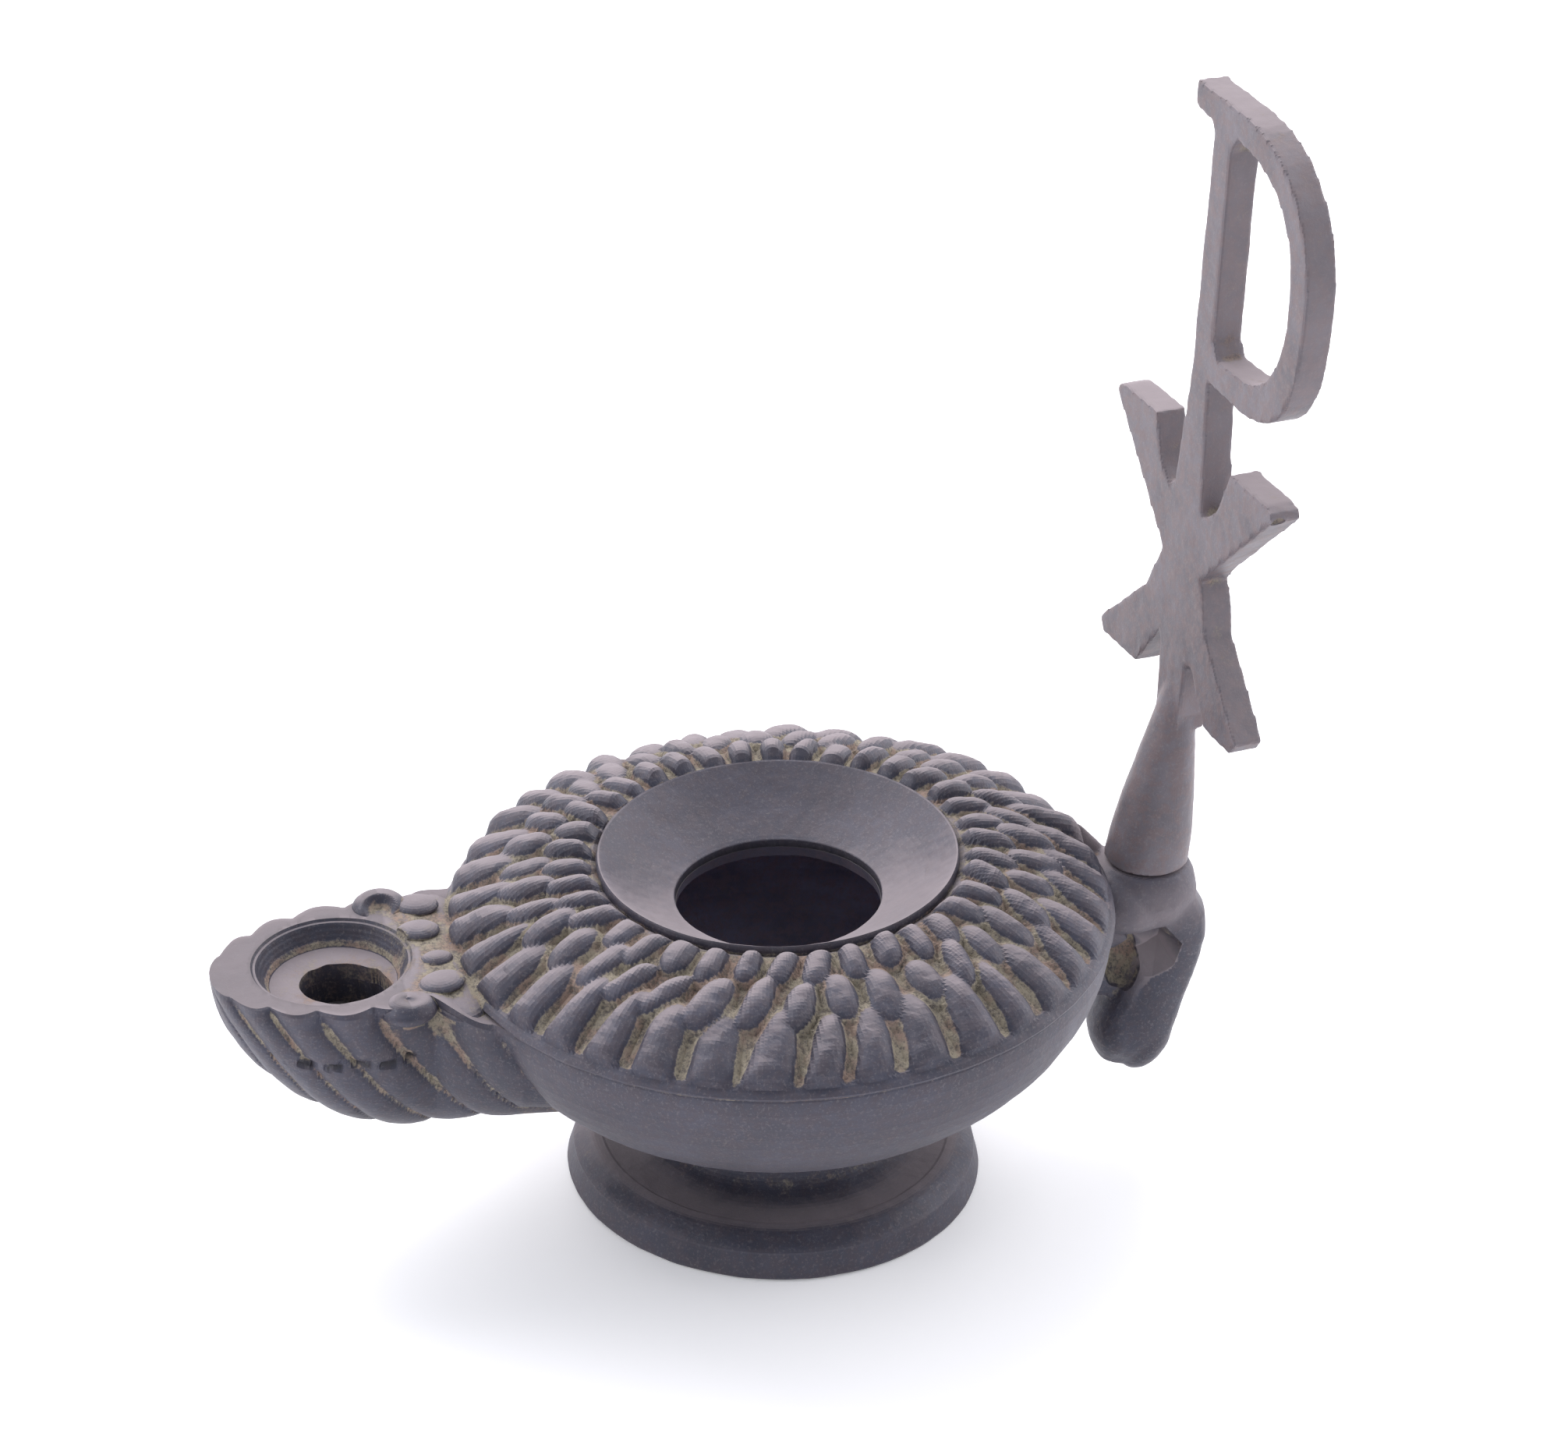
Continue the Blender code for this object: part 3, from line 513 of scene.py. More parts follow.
def hull_stations():
    """Reach, half width, depth, top and squareness of the sections from the tip to inside the bowl."""
    rows = [(NOZZLE_REACH, 0.0, 0.0, RIM_HEIGHT - 0.0002, 1.0)]
    count = 118
    root = BOWL_RADIUS - 2 * WALL
    for step in range(1, count + 1):
        share = step / count
        reach = between(NOZZLE_REACH, root, share) + 0.0009 * (1 - share) ** 6
        reach = min(reach, NOZZLE_REACH - 0.00006 * step)
        square = between(0.92, PROW_SHARPNESS, max(0.0, tip_share(reach)) ** 2)
        top = hull_top(reach)
        depth = hull_depth(reach) - (RIM_HEIGHT - top)
        rows.append((reach, hull_half_width(reach), depth, top, square))
    inner = BOWL_RADIUS * 0.55
    rows.append((inner, hull_half_width(inner) * 0.9, hull_depth(inner) - 0.0025, top - 0.001, 0.92))
    rows.append((inner - 0.001, 0.0, 0.0, SEAM_HEIGHT - 0.008, 1.0))
    return rows


def make_hull_mesh():
    """The nozzle's outside: sections placed along it, each closed by its share of the flat top."""
    rows = hull_stations()
    profile = bpy.data.meshes.new("hull_stations")
    profile.from_pydata([(row[0], row[1], row[2]) for row in rows], [], [])
    for label, column in (("top", 3), ("square", 4)):
        field = profile.attributes.new(label, "FLOAT", "POINT")
        field.data.foreach_set("value", [row[column] for row in rows])
    sizes = {"Stations": len(rows), "Around": HULL_AROUND}
    sizes |= {"Pitch": GADROON_PITCH, "Rise": GADROON_RISE, "Sweep": GADROON_SWEEP}
    tree, given = geometry_tree("gadrooned_nozzle", sizes)
    seed = given["Geometry"]
    grid, step, station, (reach, half, depth) = unrolled(seed, given["Stations"], given["Around"])
    share = step / given["Around"]

    def stored(label):
        """A value that each section carries."""
        field = seed.node("GeometryNodeInputNamedAttribute", None, {0: label})
        values = {0: seed, 1: field, 2: station}
        return seed.node("GeometryNodeSampleIndex", {"data_type": "FLOAT"}, values)

    top, square = stored("top"), stored("square")
    turn = (share / (1 - DECK_SHARE)).maths("MINIMUM", 1.0) * pi
    swing = turn.maths("COSINE")
    across = swing.maths("ABSOLUTE") ** square * swing.maths("SIGN")
    down = turn.maths("SINE").maths("MAXIMUM", 0.0) ** square
    deck = ((share - (1 - DECK_SHARE)) / DECK_SHARE).maths("MAXIMUM", 0.0) * 2.0
    across = across + deck
    to_tip = tip_share(reach).maths("MAXIMUM", 0.0)
    along = reach + to_tip ** 3.4 * 0.006 + given["Sweep"] * down ** 1.3
    phase = (along - NECK_REACH + GADROON_START) / given["Pitch"]
    lobe = (phase * pi).maths("COSINE").maths("ABSOLUTE")
    narrow = 0.95 - down.ramp(0.10, 0.60) * 0.62
    fade = (half / (NOZZLE_WIDTH / 3)).maths("MINIMUM", 1.0) * (1.15 - down * 0.45)
    level = (down * depth - FLAW_DROP).maths("ABSOLUTE")
    flaw = (reach * FLAW_RATE).maths("SINE").ramp(-0.7, -0.2) * (1.0 - level.ramp(0.00025, 0.00060))
    flaw = flaw * reach.ramp(0.0470, 0.0485) * (1.0 - reach.ramp(0.0615, 0.0635))
    flaw = flaw * (across * -1.0).ramp(0.0, 0.1)
    rise = given["Rise"] * (lobe ** narrow - 1.0) * fade - flaw * FLAW_DEPTH
    placed = {0: reach * -1.0, 1: across * (half + rise), 2: top - down * (depth + rise)}
    place = seed.node("ShaderNodeCombineXYZ", None, placed)
    formed = seed.node("GeometryNodeSetPosition", None, {0: grid, 2: place})
    closed = seed.node("GeometryNodeMergeByDistance", None, {0: formed, 2: WELD})
    return grow("hull", profile, tree, sizes, closed)


hull = shape("nozzle_hull", make_hull_mesh(), bowl_frame)


def make_bore_mesh():
    """The channel inside the nozzle, from the wick end into the bowl."""
    roof = RIM_HEIGHT - RECESS_DEPTH - WALL * 0.8
    rings = []
    for step in range(14):
        reach = between(NOZZLE_REACH - 2.6 * WALL, BOWL_RADIUS - 5 * WALL, step / 13)
        inset = WALL * (1.1 if reach > NECK_REACH else 1.3)
        half = hull_half_width(reach) - inset
        top = hull_top(reach)
        depth = hull_depth(reach) - inset - (RIM_HEIGHT - top)
        turns = [pi * index / 24 for index in range(1, 24)]
        rings.append([Vector((-reach, cos(a) * half, min(roof, top - sin(a) * depth))) for a in turns])
    return lofted("nozzle_bore", rings)


def make_recess_mesh():
    """The recess is turned in small steps, whose edges show as fine lines round its wall."""
    line = [(0.0, RIM_HEIGHT + 0.004), (RECESS_RADIUS + 0.0004, RIM_HEIGHT + 0.004)]
    line += [(RECESS_RADIUS + 0.0004, RIM_HEIGHT + 0.0002), (RECESS_RADIUS, RIM_HEIGHT - 0.0003)]
    for step in range(1, 6):
        radius = RECESS_RADIUS - step * 0.00034
        low = RIM_HEIGHT - step * RECESS_DEPTH / 5
        line += [(radius + 0.00006, low + 0.00024), (radius - 0.0001, low)]
    line.append((0.0, RIM_HEIGHT - RECESS_DEPTH - 0.0002))
    mesh = turned("recess", line, 96)
    mesh.transform(Matrix.Translation((-RECESS_REACH, 0.0, 0.0)))
    return mesh


def make_wick_hole_mesh():
    """An almond-shaped hole, pointed towards the bowl, with lumps of metal left on its far edge."""
    rings = []
    recess_floor = RIM_HEIGHT - RECESS_DEPTH
    for height in (RIM_HEIGHT + 0.002, recess_floor + 0.0006, recess_floor - 2 * WALL):
        ring = []
        for c, s in around(72):
            pinch = 1 - 0.42 * max(0.0, c) ** 3
            lump = noise.noise(Vector((c * 2.6, s * 2.6, height * 90))) * 0.0009
            x = WICK_RADIUS * (1.24 if c > 0 else 1.05) * c
            y = (WICK_RADIUS * 0.92 * pinch - (lump if s > 0 else lump * 0.3)) * s
            along = x * 0.92 + y * 0.38 - WICK_REACH
            ring.append(Vector((along, y * 0.92 - x * 0.38 - 0.0006, height)))
        rings.append(ring)
    return lofted("wick_hole", rings)


def egg_mesh(sides=28, rows=None):
    form = bmesh.new()
    bmesh.ops.create_uvsphere(form, u_segments=sides, v_segments=rows or sides // 2, radius=1.0)
    return finished("egg", form)


def volute_mesh(ridged):
    """The near volute is a low dome with a spiral ridge; the far one is a curl with a pit in it."""
    mesh = egg_mesh(56, 36)
    for corner in mesh.vertices:
        if corner.co.z <= 0.05:
            continue
        away = hypot(corner.co.x, corner.co.y)
        turn = np.arctan2(corner.co.y, corner.co.x) / (2 * pi)
        if ridged:
            corner.co.z += 0.06 * cos(2 * pi * (away * 1.3 - turn)) * eased(1.0 - away, 0.0, 0.2)
        else:
            pit = eased(0.70 - hypot(corner.co.x + 0.05, corner.co.y + 0.62), 0.0, 0.42)
            corner.co.z -= 0.72 * pit * corner.co.z
    return mesh


def placed(centre, sizes, turn=0.0, tilt=0.0):
    """A matrix that sizes a unit shape, turns it about +Z, tilts it about +Y and moves it."""
    size = Matrix.Diagonal((*sizes, 1.0))
    swing = Matrix.Rotation(turn, 4, "Z") @ Matrix.Rotation(tilt, 4, "Y")
    return Matrix.Translation(centre) @ swing @ size


def egg(name, home, centre, sizes, turn=0.0, tilt=0.0, sides=28):
    """A ball of wax pressed to the given sizes, or the hollow that it leaves where it is cut away."""
    return shape(name, egg_mesh(sides), home @ placed(centre, sizes, turn, tilt))


VOLUTE_RADIUS = 0.0032
VOLUTE_REACH = 0.0480
VOLUTE_SPREAD = 0.0112
nozzle_parts = [hull]
for side in (-1, 1):
    centre = (-VOLUTE_REACH, side * VOLUTE_SPREAD, RIM_HEIGHT - (0.0011 if side < 0 else 0.0005))
    sizes = (VOLUTE_RADIUS * 1.08, VOLUTE_RADIUS, VOLUTE_RADIUS * (0.50 if side < 0 else 0.62))
    nozzle_parts.append(shape("volute", volute_mesh(side < 0), bowl_frame @ placed(centre, sizes)))
neck_bosses = ((0.0443, 0.0038, 0.0024), (0.0431, -0.0026, 0.0018))
neck_bosses += ((0.0434, -0.0080, 0.0026), (0.0436, 0.0100, 0.0026))
for away, aside, half in neck_bosses:
    centre = (-away, aside, hull_top(away) + 0.0002)
    sizes = (half * 1.1, half * 0.9, 0.0009)
    nozzle_parts.append(egg("neck_boss", bowl_frame, centre, sizes, aside * -30.0))
centre = (-(BOWL_RADIUS + 0.0002), 0.0, RIM_HEIGHT - 0.0018)
nozzle_parts.append(egg("neck_earth", bowl_frame, centre, (0.0052, 0.0148, 0.0016), 0.0, 0.12, 48))
nozzle_cuts = [
    shape("nozzle_bore", make_bore_mesh(), bowl_frame, inside=True),
    shape("recess", make_recess_mesh(), bowl_frame),
    shape("wick_hole", make_wick_hole_mesh(), bowl_frame),
]

# The foot ring, a flared band under a rounded ledge, hollow below. It was cast with the bowl and trued
# on the lathe, so it stands level while the bowl leans.
FOOT_RADIUS = 0.0263
LEDGE_RADIUS = 0.0255
LEDGE_HEIGHT = 0.0035
FOOT_TOP_RADIUS = 0.0222
FOOT_TOP_HEIGHT = 0.0056
THROAT_RADIUS = 0.0152
THROAT_HEIGHT = 0.0094
FOOT_RIM_WIDTH = 0.0026
FOOT_WALL = 0.0030


def smooth_line(points, steps):
    """More points along a line, on smooth curves through the ones given."""
    rows = np.array([points[0], *points, points[-1]], dtype=float)
    line = []
    for index in range(1, len(rows) - 2):
        before, start, end, after = rows[index - 1 : index + 3]
        for t in np.arange(steps) / steps:
            bend = 2 * before - 5 * start + 4 * end - after
            twist = 3 * start - before - 3 * end + after
            line.append(start + 0.5 * ((end - before) * t + bend * t**2 + twist * t**3))
    return [tuple(row) for row in (*line, rows[-1])]


def make_foot_mesh():
    """The foot is a plain ring, its top a rounded ledge, and a cove runs from there to the bowl."""
    bury = SEAM_HEIGHT - BOWL_DEPTH + THROAT_RADIUS**2 / (2 * BOWL_RADIUS) + WALL * 0.45
    inner = THROAT_RADIUS - FOOT_WALL
    cove = [(THROAT_RADIUS + 0.0001, THROAT_HEIGHT + 0.0010)]
    for out, up in ((0.14, 0.50), (0.52, 0.08)):
        radius = between(THROAT_RADIUS, FOOT_TOP_RADIUS, out)
        cove.append((radius, between(FOOT_TOP_HEIGHT, THROAT_HEIGHT, up)))
    cove.append((FOOT_TOP_RADIUS - 0.0003, FOOT_TOP_HEIGHT - 0.0001))
    line = [(inner, bury), (THROAT_RADIUS, bury)] + smooth_line(cove, 6)
    ledge = [(FOOT_TOP_RADIUS, FOOT_TOP_HEIGHT), (FOOT_TOP_RADIUS + 0.0012, FOOT_TOP_HEIGHT - 0.0003)]
    ledge += [(LEDGE_RADIUS - 0.0008, LEDGE_HEIGHT + 0.0008), (LEDGE_RADIUS, LEDGE_HEIGHT)]
    line += smooth_line(ledge, 4)
    line.append((LEDGE_RADIUS + 0.00005, LEDGE_HEIGHT - 0.0003))
    line += [(FOOT_RADIUS - 0.0001, 0.0007), (FOOT_RADIUS, 0.0004)]
    line += [(FOOT_RADIUS - 0.0001, 0.0001), (FOOT_RADIUS - 0.0004, 0.0)]
    hollow = FOOT_RADIUS - FOOT_RIM_WIDTH
    line += [(hollow + 0.0003, 0.0), (hollow, 0.0003)]
    line.append((between(inner, hollow, 0.75), LEDGE_HEIGHT - 0.0012))
    line.append((between(inner, hollow, 0.5), FOOT_TOP_HEIGHT - FOOT_WALL))
    line.append((inner, THROAT_HEIGHT - FOOT_WALL))
    return turned("foot_ring", line, 168, looped=True)


foot = shape("foot_ring", make_foot_mesh(), lamp_axis)

# The curled handle, with the round seat of the finial on it and a leaf tip behind its root. It was
# modelled by hand in wax, so its folds are soft and no two faces match.
HANDLE_REACH = 0.0557
HANDLE_THICKNESS = 0.0094
HANDLE_BREADTH = 0.0106
HANDLE_FOOT_HEIGHT = 0.0078
SEAT_RADIUS = 0.0056
SEAT_HEIGHT = 0.0390
SEAT_REACH = 0.0474
WEB_THICKNESS = 0.0042
LEAF_HEIGHT = 0.0046
LEAF_WIDTH = 0.0034
SKIN_STEP = 0.00034


def make_handle_mesh():
    """Rounded sections along the curl: place, half thickness, half breadth."""
    outer = HANDLE_REACH
    half = HANDLE_THICKNESS / 2
    side = HANDLE_BREADTH / 2
    low = HANDLE_FOOT_HEIGHT
    top = SEAT_HEIGHT
    sections = [
        (BOWL_RADIUS - half * 1.06, top - half * 1.49, half * 1.2, side),
        (BOWL_RADIUS + half * 0.21, top - half * 1.23, half * 1.2, side),
        (outer - half * 1.89, top - half * 0.96, half * 0.95, side * 1.05),
    ]
    curl = ((1.02, 0.74, 1.0, 1.0), (1.15, 0.52, 0.96, 0.92), (1.45, 0.40, 1.04, 0.92))
    curl += ((1.77, 0.27, 1.12, 1.0), (2.00, 0.16, 1.02, 0.9), (2.13, 0.058, 0.6, 0.5))
    for back, up, thick, broad in curl:
        sections.append((outer - half * back, between(low, top, up), half * thick, side * broad))
    line = smooth_line(sections, 3)
    rings = []
    for index, (x, z, thick, broad) in enumerate(line):
        before = line[max(index - 1, 0)]
        after = line[min(index + 1, len(line) - 1)]
        along = Vector((after[0] - before[0], 0.0, after[1] - before[1])).normalized()
        square = Vector((-along.z, 0.0, along.x))
        ring = []
        for c, s in around(28):
            soft = 1.0 / max(abs(c), abs(s)) ** 0.35
            ring.append(Vector((x, s * broad * soft, z)) + square * (c * thick * soft))
        rings.append(ring)
    return lofted("handle", rings)


def make_web_mesh():
    """The flat web that fills the curl, back to the bowl."""
    outer = HANDLE_REACH - HANDLE_THICKNESS * 0.7
    inner = BOWL_RADIUS - 0.0060
    low = between(HANDLE_FOOT_HEIGHT, SEAT_HEIGHT, 0.36)
    high = SEAT_HEIGHT - HANDLE_THICKNESS * 0.63
    corners = [(inner, high), (outer, high), (outer, low), (BOWL_RADIUS + 0.0003, low + 0.0012)]
    corners.append((inner, between(low, high, 0.35)))
    sides = (-WEB_THICKNESS / 2, WEB_THICKNESS / 2)
    return lofted("handle_web", [[Vector((x, y, z)) for x, z in corners] for y in sides])


def make_leaf_mesh():
    foot_point = Vector((BOWL_RADIUS, HANDLE_BREADTH * 0.42, SEAT_HEIGHT - 0.0040))
    tip = foot_point + Vector((-0.0017, 0.0006, LEAF_HEIGHT + 0.0026))
    half = LEAF_WIDTH / 2
    rings = []
    taper = ((2.2, 0.0), (2.0, 0.25), (1.7, 0.45), (1.2, 0.65), (0.70, 0.82), (0.32, 0.94))
    for size, share in taper:
        middle = foot_point.lerp(tip, share)
        rings.append([middle + Vector((c * half, s * half * 0.55, 0.0)) * size for c, s in around(20)])
    return lofted("leaf_tip", rings + [[tip]])


def remeshed(target, rounds):
    """Melts overlapping shapes into one even skin, and smooths it."""
    melt = target.modifiers.new("melt", "REMESH")
    melt.mode = "VOXEL"
    melt.voxel_size = SKIN_STEP
    soften = target.modifiers.new("soften", "SMOOTH")
    soften.factor = 0.5
    soften.iterations = rounds
    settle(target)


def joined(name, shapes):
    """Puts several meshes into one object without melting them."""
    form = bmesh.new()
    for part in shapes:
        form.from_mesh(part.data)
    for part in shapes:
        bpy.data.objects.remove(part)
    return shape(name, finished(name, form), Matrix())


def make_facet_mesh():
    """A wedge, in mm, that leaves a flat face sloping up and inwards under the seat's shoulder."""
    back = [(45.4, 29.6), (48.4, 30.2), (49.4, 29.8), (49.2, 28.4), (47.6, 27.4), (46.2, 26.9)]
    front = [(43.6, 31.2), (48.8, 31.6), (51.3, 28.8), (50.6, 25.6), (48.0, 23.2), (45.4, 21.6)]
    rings = []
    for depth, share in ((-1.8, 0.0), (-5.0, 1.0), (-8.2, 2.0)):
        ring = [between(Vector(a), Vector(b), share) / 1000 for a, b in zip(back, front)]
        rings.append([Vector((spot.x, depth / 1000, spot.y)) for spot in ring])
    return lofted("facet", rings)


def make_handle():
    """The curl, its web, facet and pit, the two lobes of its end, the seat and the leaf."""
    seat_line = [(0.0, SEAT_HEIGHT), (SEAT_RADIUS - 0.0004, SEAT_HEIGHT)]
    swell = ((1.0, 0.0003), (1.12, 0.0016), (1.22, 0.0040), (1.06, 0.0068), (0.7, 0.0088), (0.0, 0.0094))
    seat_line += [(SEAT_RADIUS * size, SEAT_HEIGHT - drop) for size, drop in swell]
    seat_place = lamp_axis @ Matrix.Translation((SEAT_REACH, 0.0, 0.0))
    parts = [
        shape("handle", make_handle_mesh(), lamp_axis),
        shape("handle_web", make_web_mesh(), lamp_axis),
        shape("seat", turned("seat", seat_line, 48), seat_place),
        egg("shoulder", lamp_axis, (0.0440, -0.0010, 0.0342), (0.0062, 0.0062, 0.0042), 0.0, 0.30, 40),
        shape("leaf_tip", make_leaf_mesh(), lamp_axis),
        egg("lobe", lamp_axis, (0.0448, -0.0010, 0.0152), (0.0026, 0.0041, 0.0050), 0.0, 0.06),
        egg("lobe", lamp_axis, (0.0487, -0.0006, 0.0140), (0.0036, 0.0045, 0.0060), 0.0, 0.30),
    ]
    whole = joined("handle_cast", parts)
    remeshed(whole, 6)
    combine(whole, "DIFFERENCE", [shape("facet", make_facet_mesh(), lamp_axis)])
    pit = egg("pit", lamp_axis, (0.0444, -0.0046, 0.0256), (0.0024, 0.0050, 0.0048), 0.0, 0.15, 40)
    combine(whole, "DIFFERENCE", [pit])
    return whole


handle = make_handle()
combine(lamp, "UNION", [*nozzle_parts, foot, handle])
combine(lamp, "DIFFERENCE", [bowl_cavity, *nozzle_cuts])


def links_of(mesh):
    """Both ends of every edge, from either side, and how many neighbours each corner has."""
    pairs = np.empty(len(mesh.edges) * 2, dtype=np.int32)
    mesh.edges.foreach_get("vertices", pairs)
    pairs = pairs.reshape(-1, 2)
    both = np.concatenate((pairs, pairs[:, ::-1]))
    return both[:, 0], both[:, 1], np.bincount(both[:, 0], minlength=len(mesh.vertices))


def averaged(values, links):
    """Each corner's values, averaged over its neighbours."""
    start, end, count = links
    columns = values.reshape(len(count), -1).T
    sums = [np.bincount(start, weights=column[end], minlength=len(count)) for column in columns]
    return (np.array(sums).T / np.maximum(count, 1)[:, None]).reshape(values.shape)


def store_marks_and_painted_light(target, rounds, dust_and_light_of):
    """Stores how far each corner lies below the smoothed skin, and its dust and tone; the tone carries
    painted light and shade as well as soot.
    """
    mesh = target.data
    spots = np.empty(len(mesh.vertices) * 3)
    mesh.vertices.foreach_get("co", spots)
    spots = spots.reshape(-1, 3)
    normals = np.array([corner.vector for corner in mesh.vertex_normals])
    links = links_of(mesh)
    depths = []
    soft = spots.copy()
    for step in range(rounds):
        soft = soft * 0.4 + averaged(soft, links) * 0.6
        if step in (5, rounds - 1):
            depths.append(np.einsum("ij,ij->i", soft - spots, normals))
    hollow = averaged(depths[0], links) / 0.00012
    dust, tone = dust_and_light_of(spots, normals, depths[1] / 0.00040)
    for label, values in (("hollow", np.clip(hollow, -1, 1)), ("dust", dust), ("tone", tone)):
        field = mesh.attributes.new(label, "FLOAT", "POINT")
        field.data.foreach_set("value", values.astype(np.float32))


def near(first, second, place, widths):
    """1 at a place, falling softly to 0 away from it."""
    return np.exp(-(((first - place[0]) / widths[0]) ** 2) - ((second - place[1]) / widths[1]) ** 2)


def roughened(target, coarse, fine):
    """Gives a smooth skin the slight unevenness of cast metal, by two sizes of noise."""
    mesh = target.data
    normals = [normal.vector.copy() for normal in mesh.vertex_normals]
    moved = []
    for corner, normal in zip(mesh.vertices, normals):
        swell = noise.noise(corner.co * 260.0) * coarse + noise.noise(corner.co * 900.0) * fine
        moved.extend(corner.co + normal * swell)
    mesh.vertices.foreach_set("co", moved)
    mesh.update()


def bowl_dust_and_painted_light(spots, normals, deep):
    """Earth lies between the bosses, in the gadroons' heads, on the neck and in the pit. The recess and
    the wick hole are dark with soot, the flaws are darkened and the filling hole's wall gets painted
    shade; the handle's facet is painted pale as painted light, the seat is made paler, and the leaf tip
    pale, partly as painted light."""
    place = np.array(bowl_frame.inverted())
    x, y, z = place[:3, :3] @ spots.T + place[:3, 3:4]
    radius = np.hypot(x, y)
    upward = normals[:, 2]
    below_rim = RIM_HEIGHT - z

    front = np.clip((-y + 0.012) / 0.045, 0.25, 1.0)
    on_shell = (radius > DISC_RADIUS + 0.0008) & (radius < BOWL_RADIUS) & (z > SEAM_HEIGHT - 0.003)
    dust = np.clip(deep, -0.6, 1.2) * np.where(on_shell, 0.55 + 0.60 * front, 0.0)

    above_floor = z - RIM_HEIGHT + RECESS_DEPTH
    in_recess = (np.hypot(x + RECESS_REACH, y) < RECESS_RADIUS + 0.0006) & (above_floor > -0.0006)
    in_hole = (above_floor < -0.0003) & (np.hypot(x + WICK_REACH, y) < 0.0078)
    on_nozzle = (x < -BOWL_RADIUS) & (z > 0.018)
    on_gadroons = on_nozzle & ~in_recess & ~in_hole
    heads = np.clip((0.0125 - below_rim) / 0.010, 0.52, 1.0) * np.clip((-x - 0.034) / 0.01, 0.3, 1.0)
    dust += np.where(on_gadroons, np.clip(deep, -0.5, 1.3) * heads * 1.1, 0.0)
    floor_corner = np.exp(-((above_floor / 0.0007) ** 2)) * (0.10 + 0.45 * (upward < 0.8))
    dust += np.where(in_recess, floor_corner, 0.0)
    dust += np.where(in_hole & (above_floor > -0.0022) & (y > 0.0), 0.30, 0.0)
    dust += near(x, y, (-0.0432, 0.0), (0.0050, 0.0150)) * (below_rim < 0.0050) * 0.80
    dust += near(x, z, (0.0442, 0.0242), (0.0026, 0.0045)) * (y > -0.0042) * (y < 0.003) * 0.8

    rim = (x < -VOLUTE_REACH) & (below_rim < 0.0004) & (upward > 0.9)
    recess_floor = in_recess & (above_floor < 0.0003) & (upward > 0.9)
    recess_wall = in_recess & (above_floor > 0.0010)
    tone = rim * 0.24 + recess_wall * 0.12 + recess_floor * 0.22 + in_hole * 0.35
    in_flaw = on_nozzle & (y < 0.0) & (np.abs(below_rim - FLAW_DROP) < 0.0004)
    in_flaw &= (np.sin(-x * FLAW_RATE) > -0.35) & (-x > 0.0475) & (-x < 0.0625)
    tone += in_flaw * 0.75
    dust -= in_flaw * 1.0

    # Painted shade: the filling hole's wall is darkened nearly to black. The disc is made a little
    # paler.
    on_disc = (radius > HOLE_RADIUS + 0.0004) & (radius < DISC_RADIUS) & (z > HOLE_HEIGHT - 0.0002)
    hole_wall = (z < HOLE_HEIGHT - 0.0002) & (z > HOLE_HEIGHT - 0.0030) & (radius < HOLE_RADIUS + 0.0003)
    tone += hole_wall * 0.75 - on_disc * 0.17

    # Painted light: the handle's facet, which the lamps cannot reach, is painted pale as if lit and kept
    # free of earth. The seat is made paler; the leaf tip is made pale, partly a pale crust and partly
    # painted light.
    on_facet = (np.abs(normals[:, 1] + 0.54) < 0.40) & (upward > 0.05) & (y < -0.0014)
    facet = near(x, z, (0.0484, 0.0250), (0.0040, 0.0046)) * on_facet
    seat = near(x, z, (0.0480, 0.0330), (0.0076, 0.0038)) * (radius > BOWL_RADIUS + 0.0006)
    leaf = near(x, y, (0.0410, 0.0046), (0.0026, 0.0034)) * (z > SEAM_HEIGHT - 0.0010)
    dust -= facet
    tone -= facet * 1.4 + seat * 0.60 + leaf * (radius > BOWL_RADIUS - 0.002)
    return dust, tone


roughened(lamp, 0.00008, 0.00003)
store_marks_and_painted_light(lamp, 44, bowl_dust_and_painted_light)
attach(lamp, "root")
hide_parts("lamp_body")

# The finial, a second casting of the same bronze: a round stem that flattens into the chi-rho. Its
# faces were rubbed flat and its edges filed, and it stands on the handle with a thin open joint.
JOINT_GAP = 0.0003
FINIAL_TURN = radians(9.1)
FINIAL_LEAN = radians(1.3)
CONE_RADIUS = 0.0053
CONE_HEIGHT = 0.0270
CONE_SETBACK = 0.0029
PLATE_THICKNESS = 0.0040
STEM_WIDTH = 0.0041
STEM_FOOT_WIDTH = 0.0054
FINIAL_HEIGHT = 0.1010
RHO_REACH = 0.0216
RHO_DROP = 0.0348
RHO_BAND = 0.0038
SERIF_REACH = 0.0068
SERIF_DEPTH = 0.0032
CHI_FOOT_HEIGHT = 0.0234
CHI_HEIGHT = 0.0344
CHI_SPREAD = 0.0193
CHI_GAP = 0.0090
CHI_WAIST = 0.0049
CHI_CROTCH = 0.0084
CHI_SHORT_ARM = 0.0022
CROTCH_ASIDE = STEM_FOOT_WIDTH / 2 + 0.0008


def curve_points(start, pull_start, pull_end, end, count):
    """Points after start along a cubic curve that ends at end."""
    corners = np.array((start, pull_start, pull_end, end))
    points = []
    for t in np.arange(1, count + 1) / count:
        weights = np.array(((1 - t) ** 3, 3 * t * (1 - t) ** 2, 3 * t * t * (1 - t), t**3))
        points.append(tuple(weights @ corners))
    return points


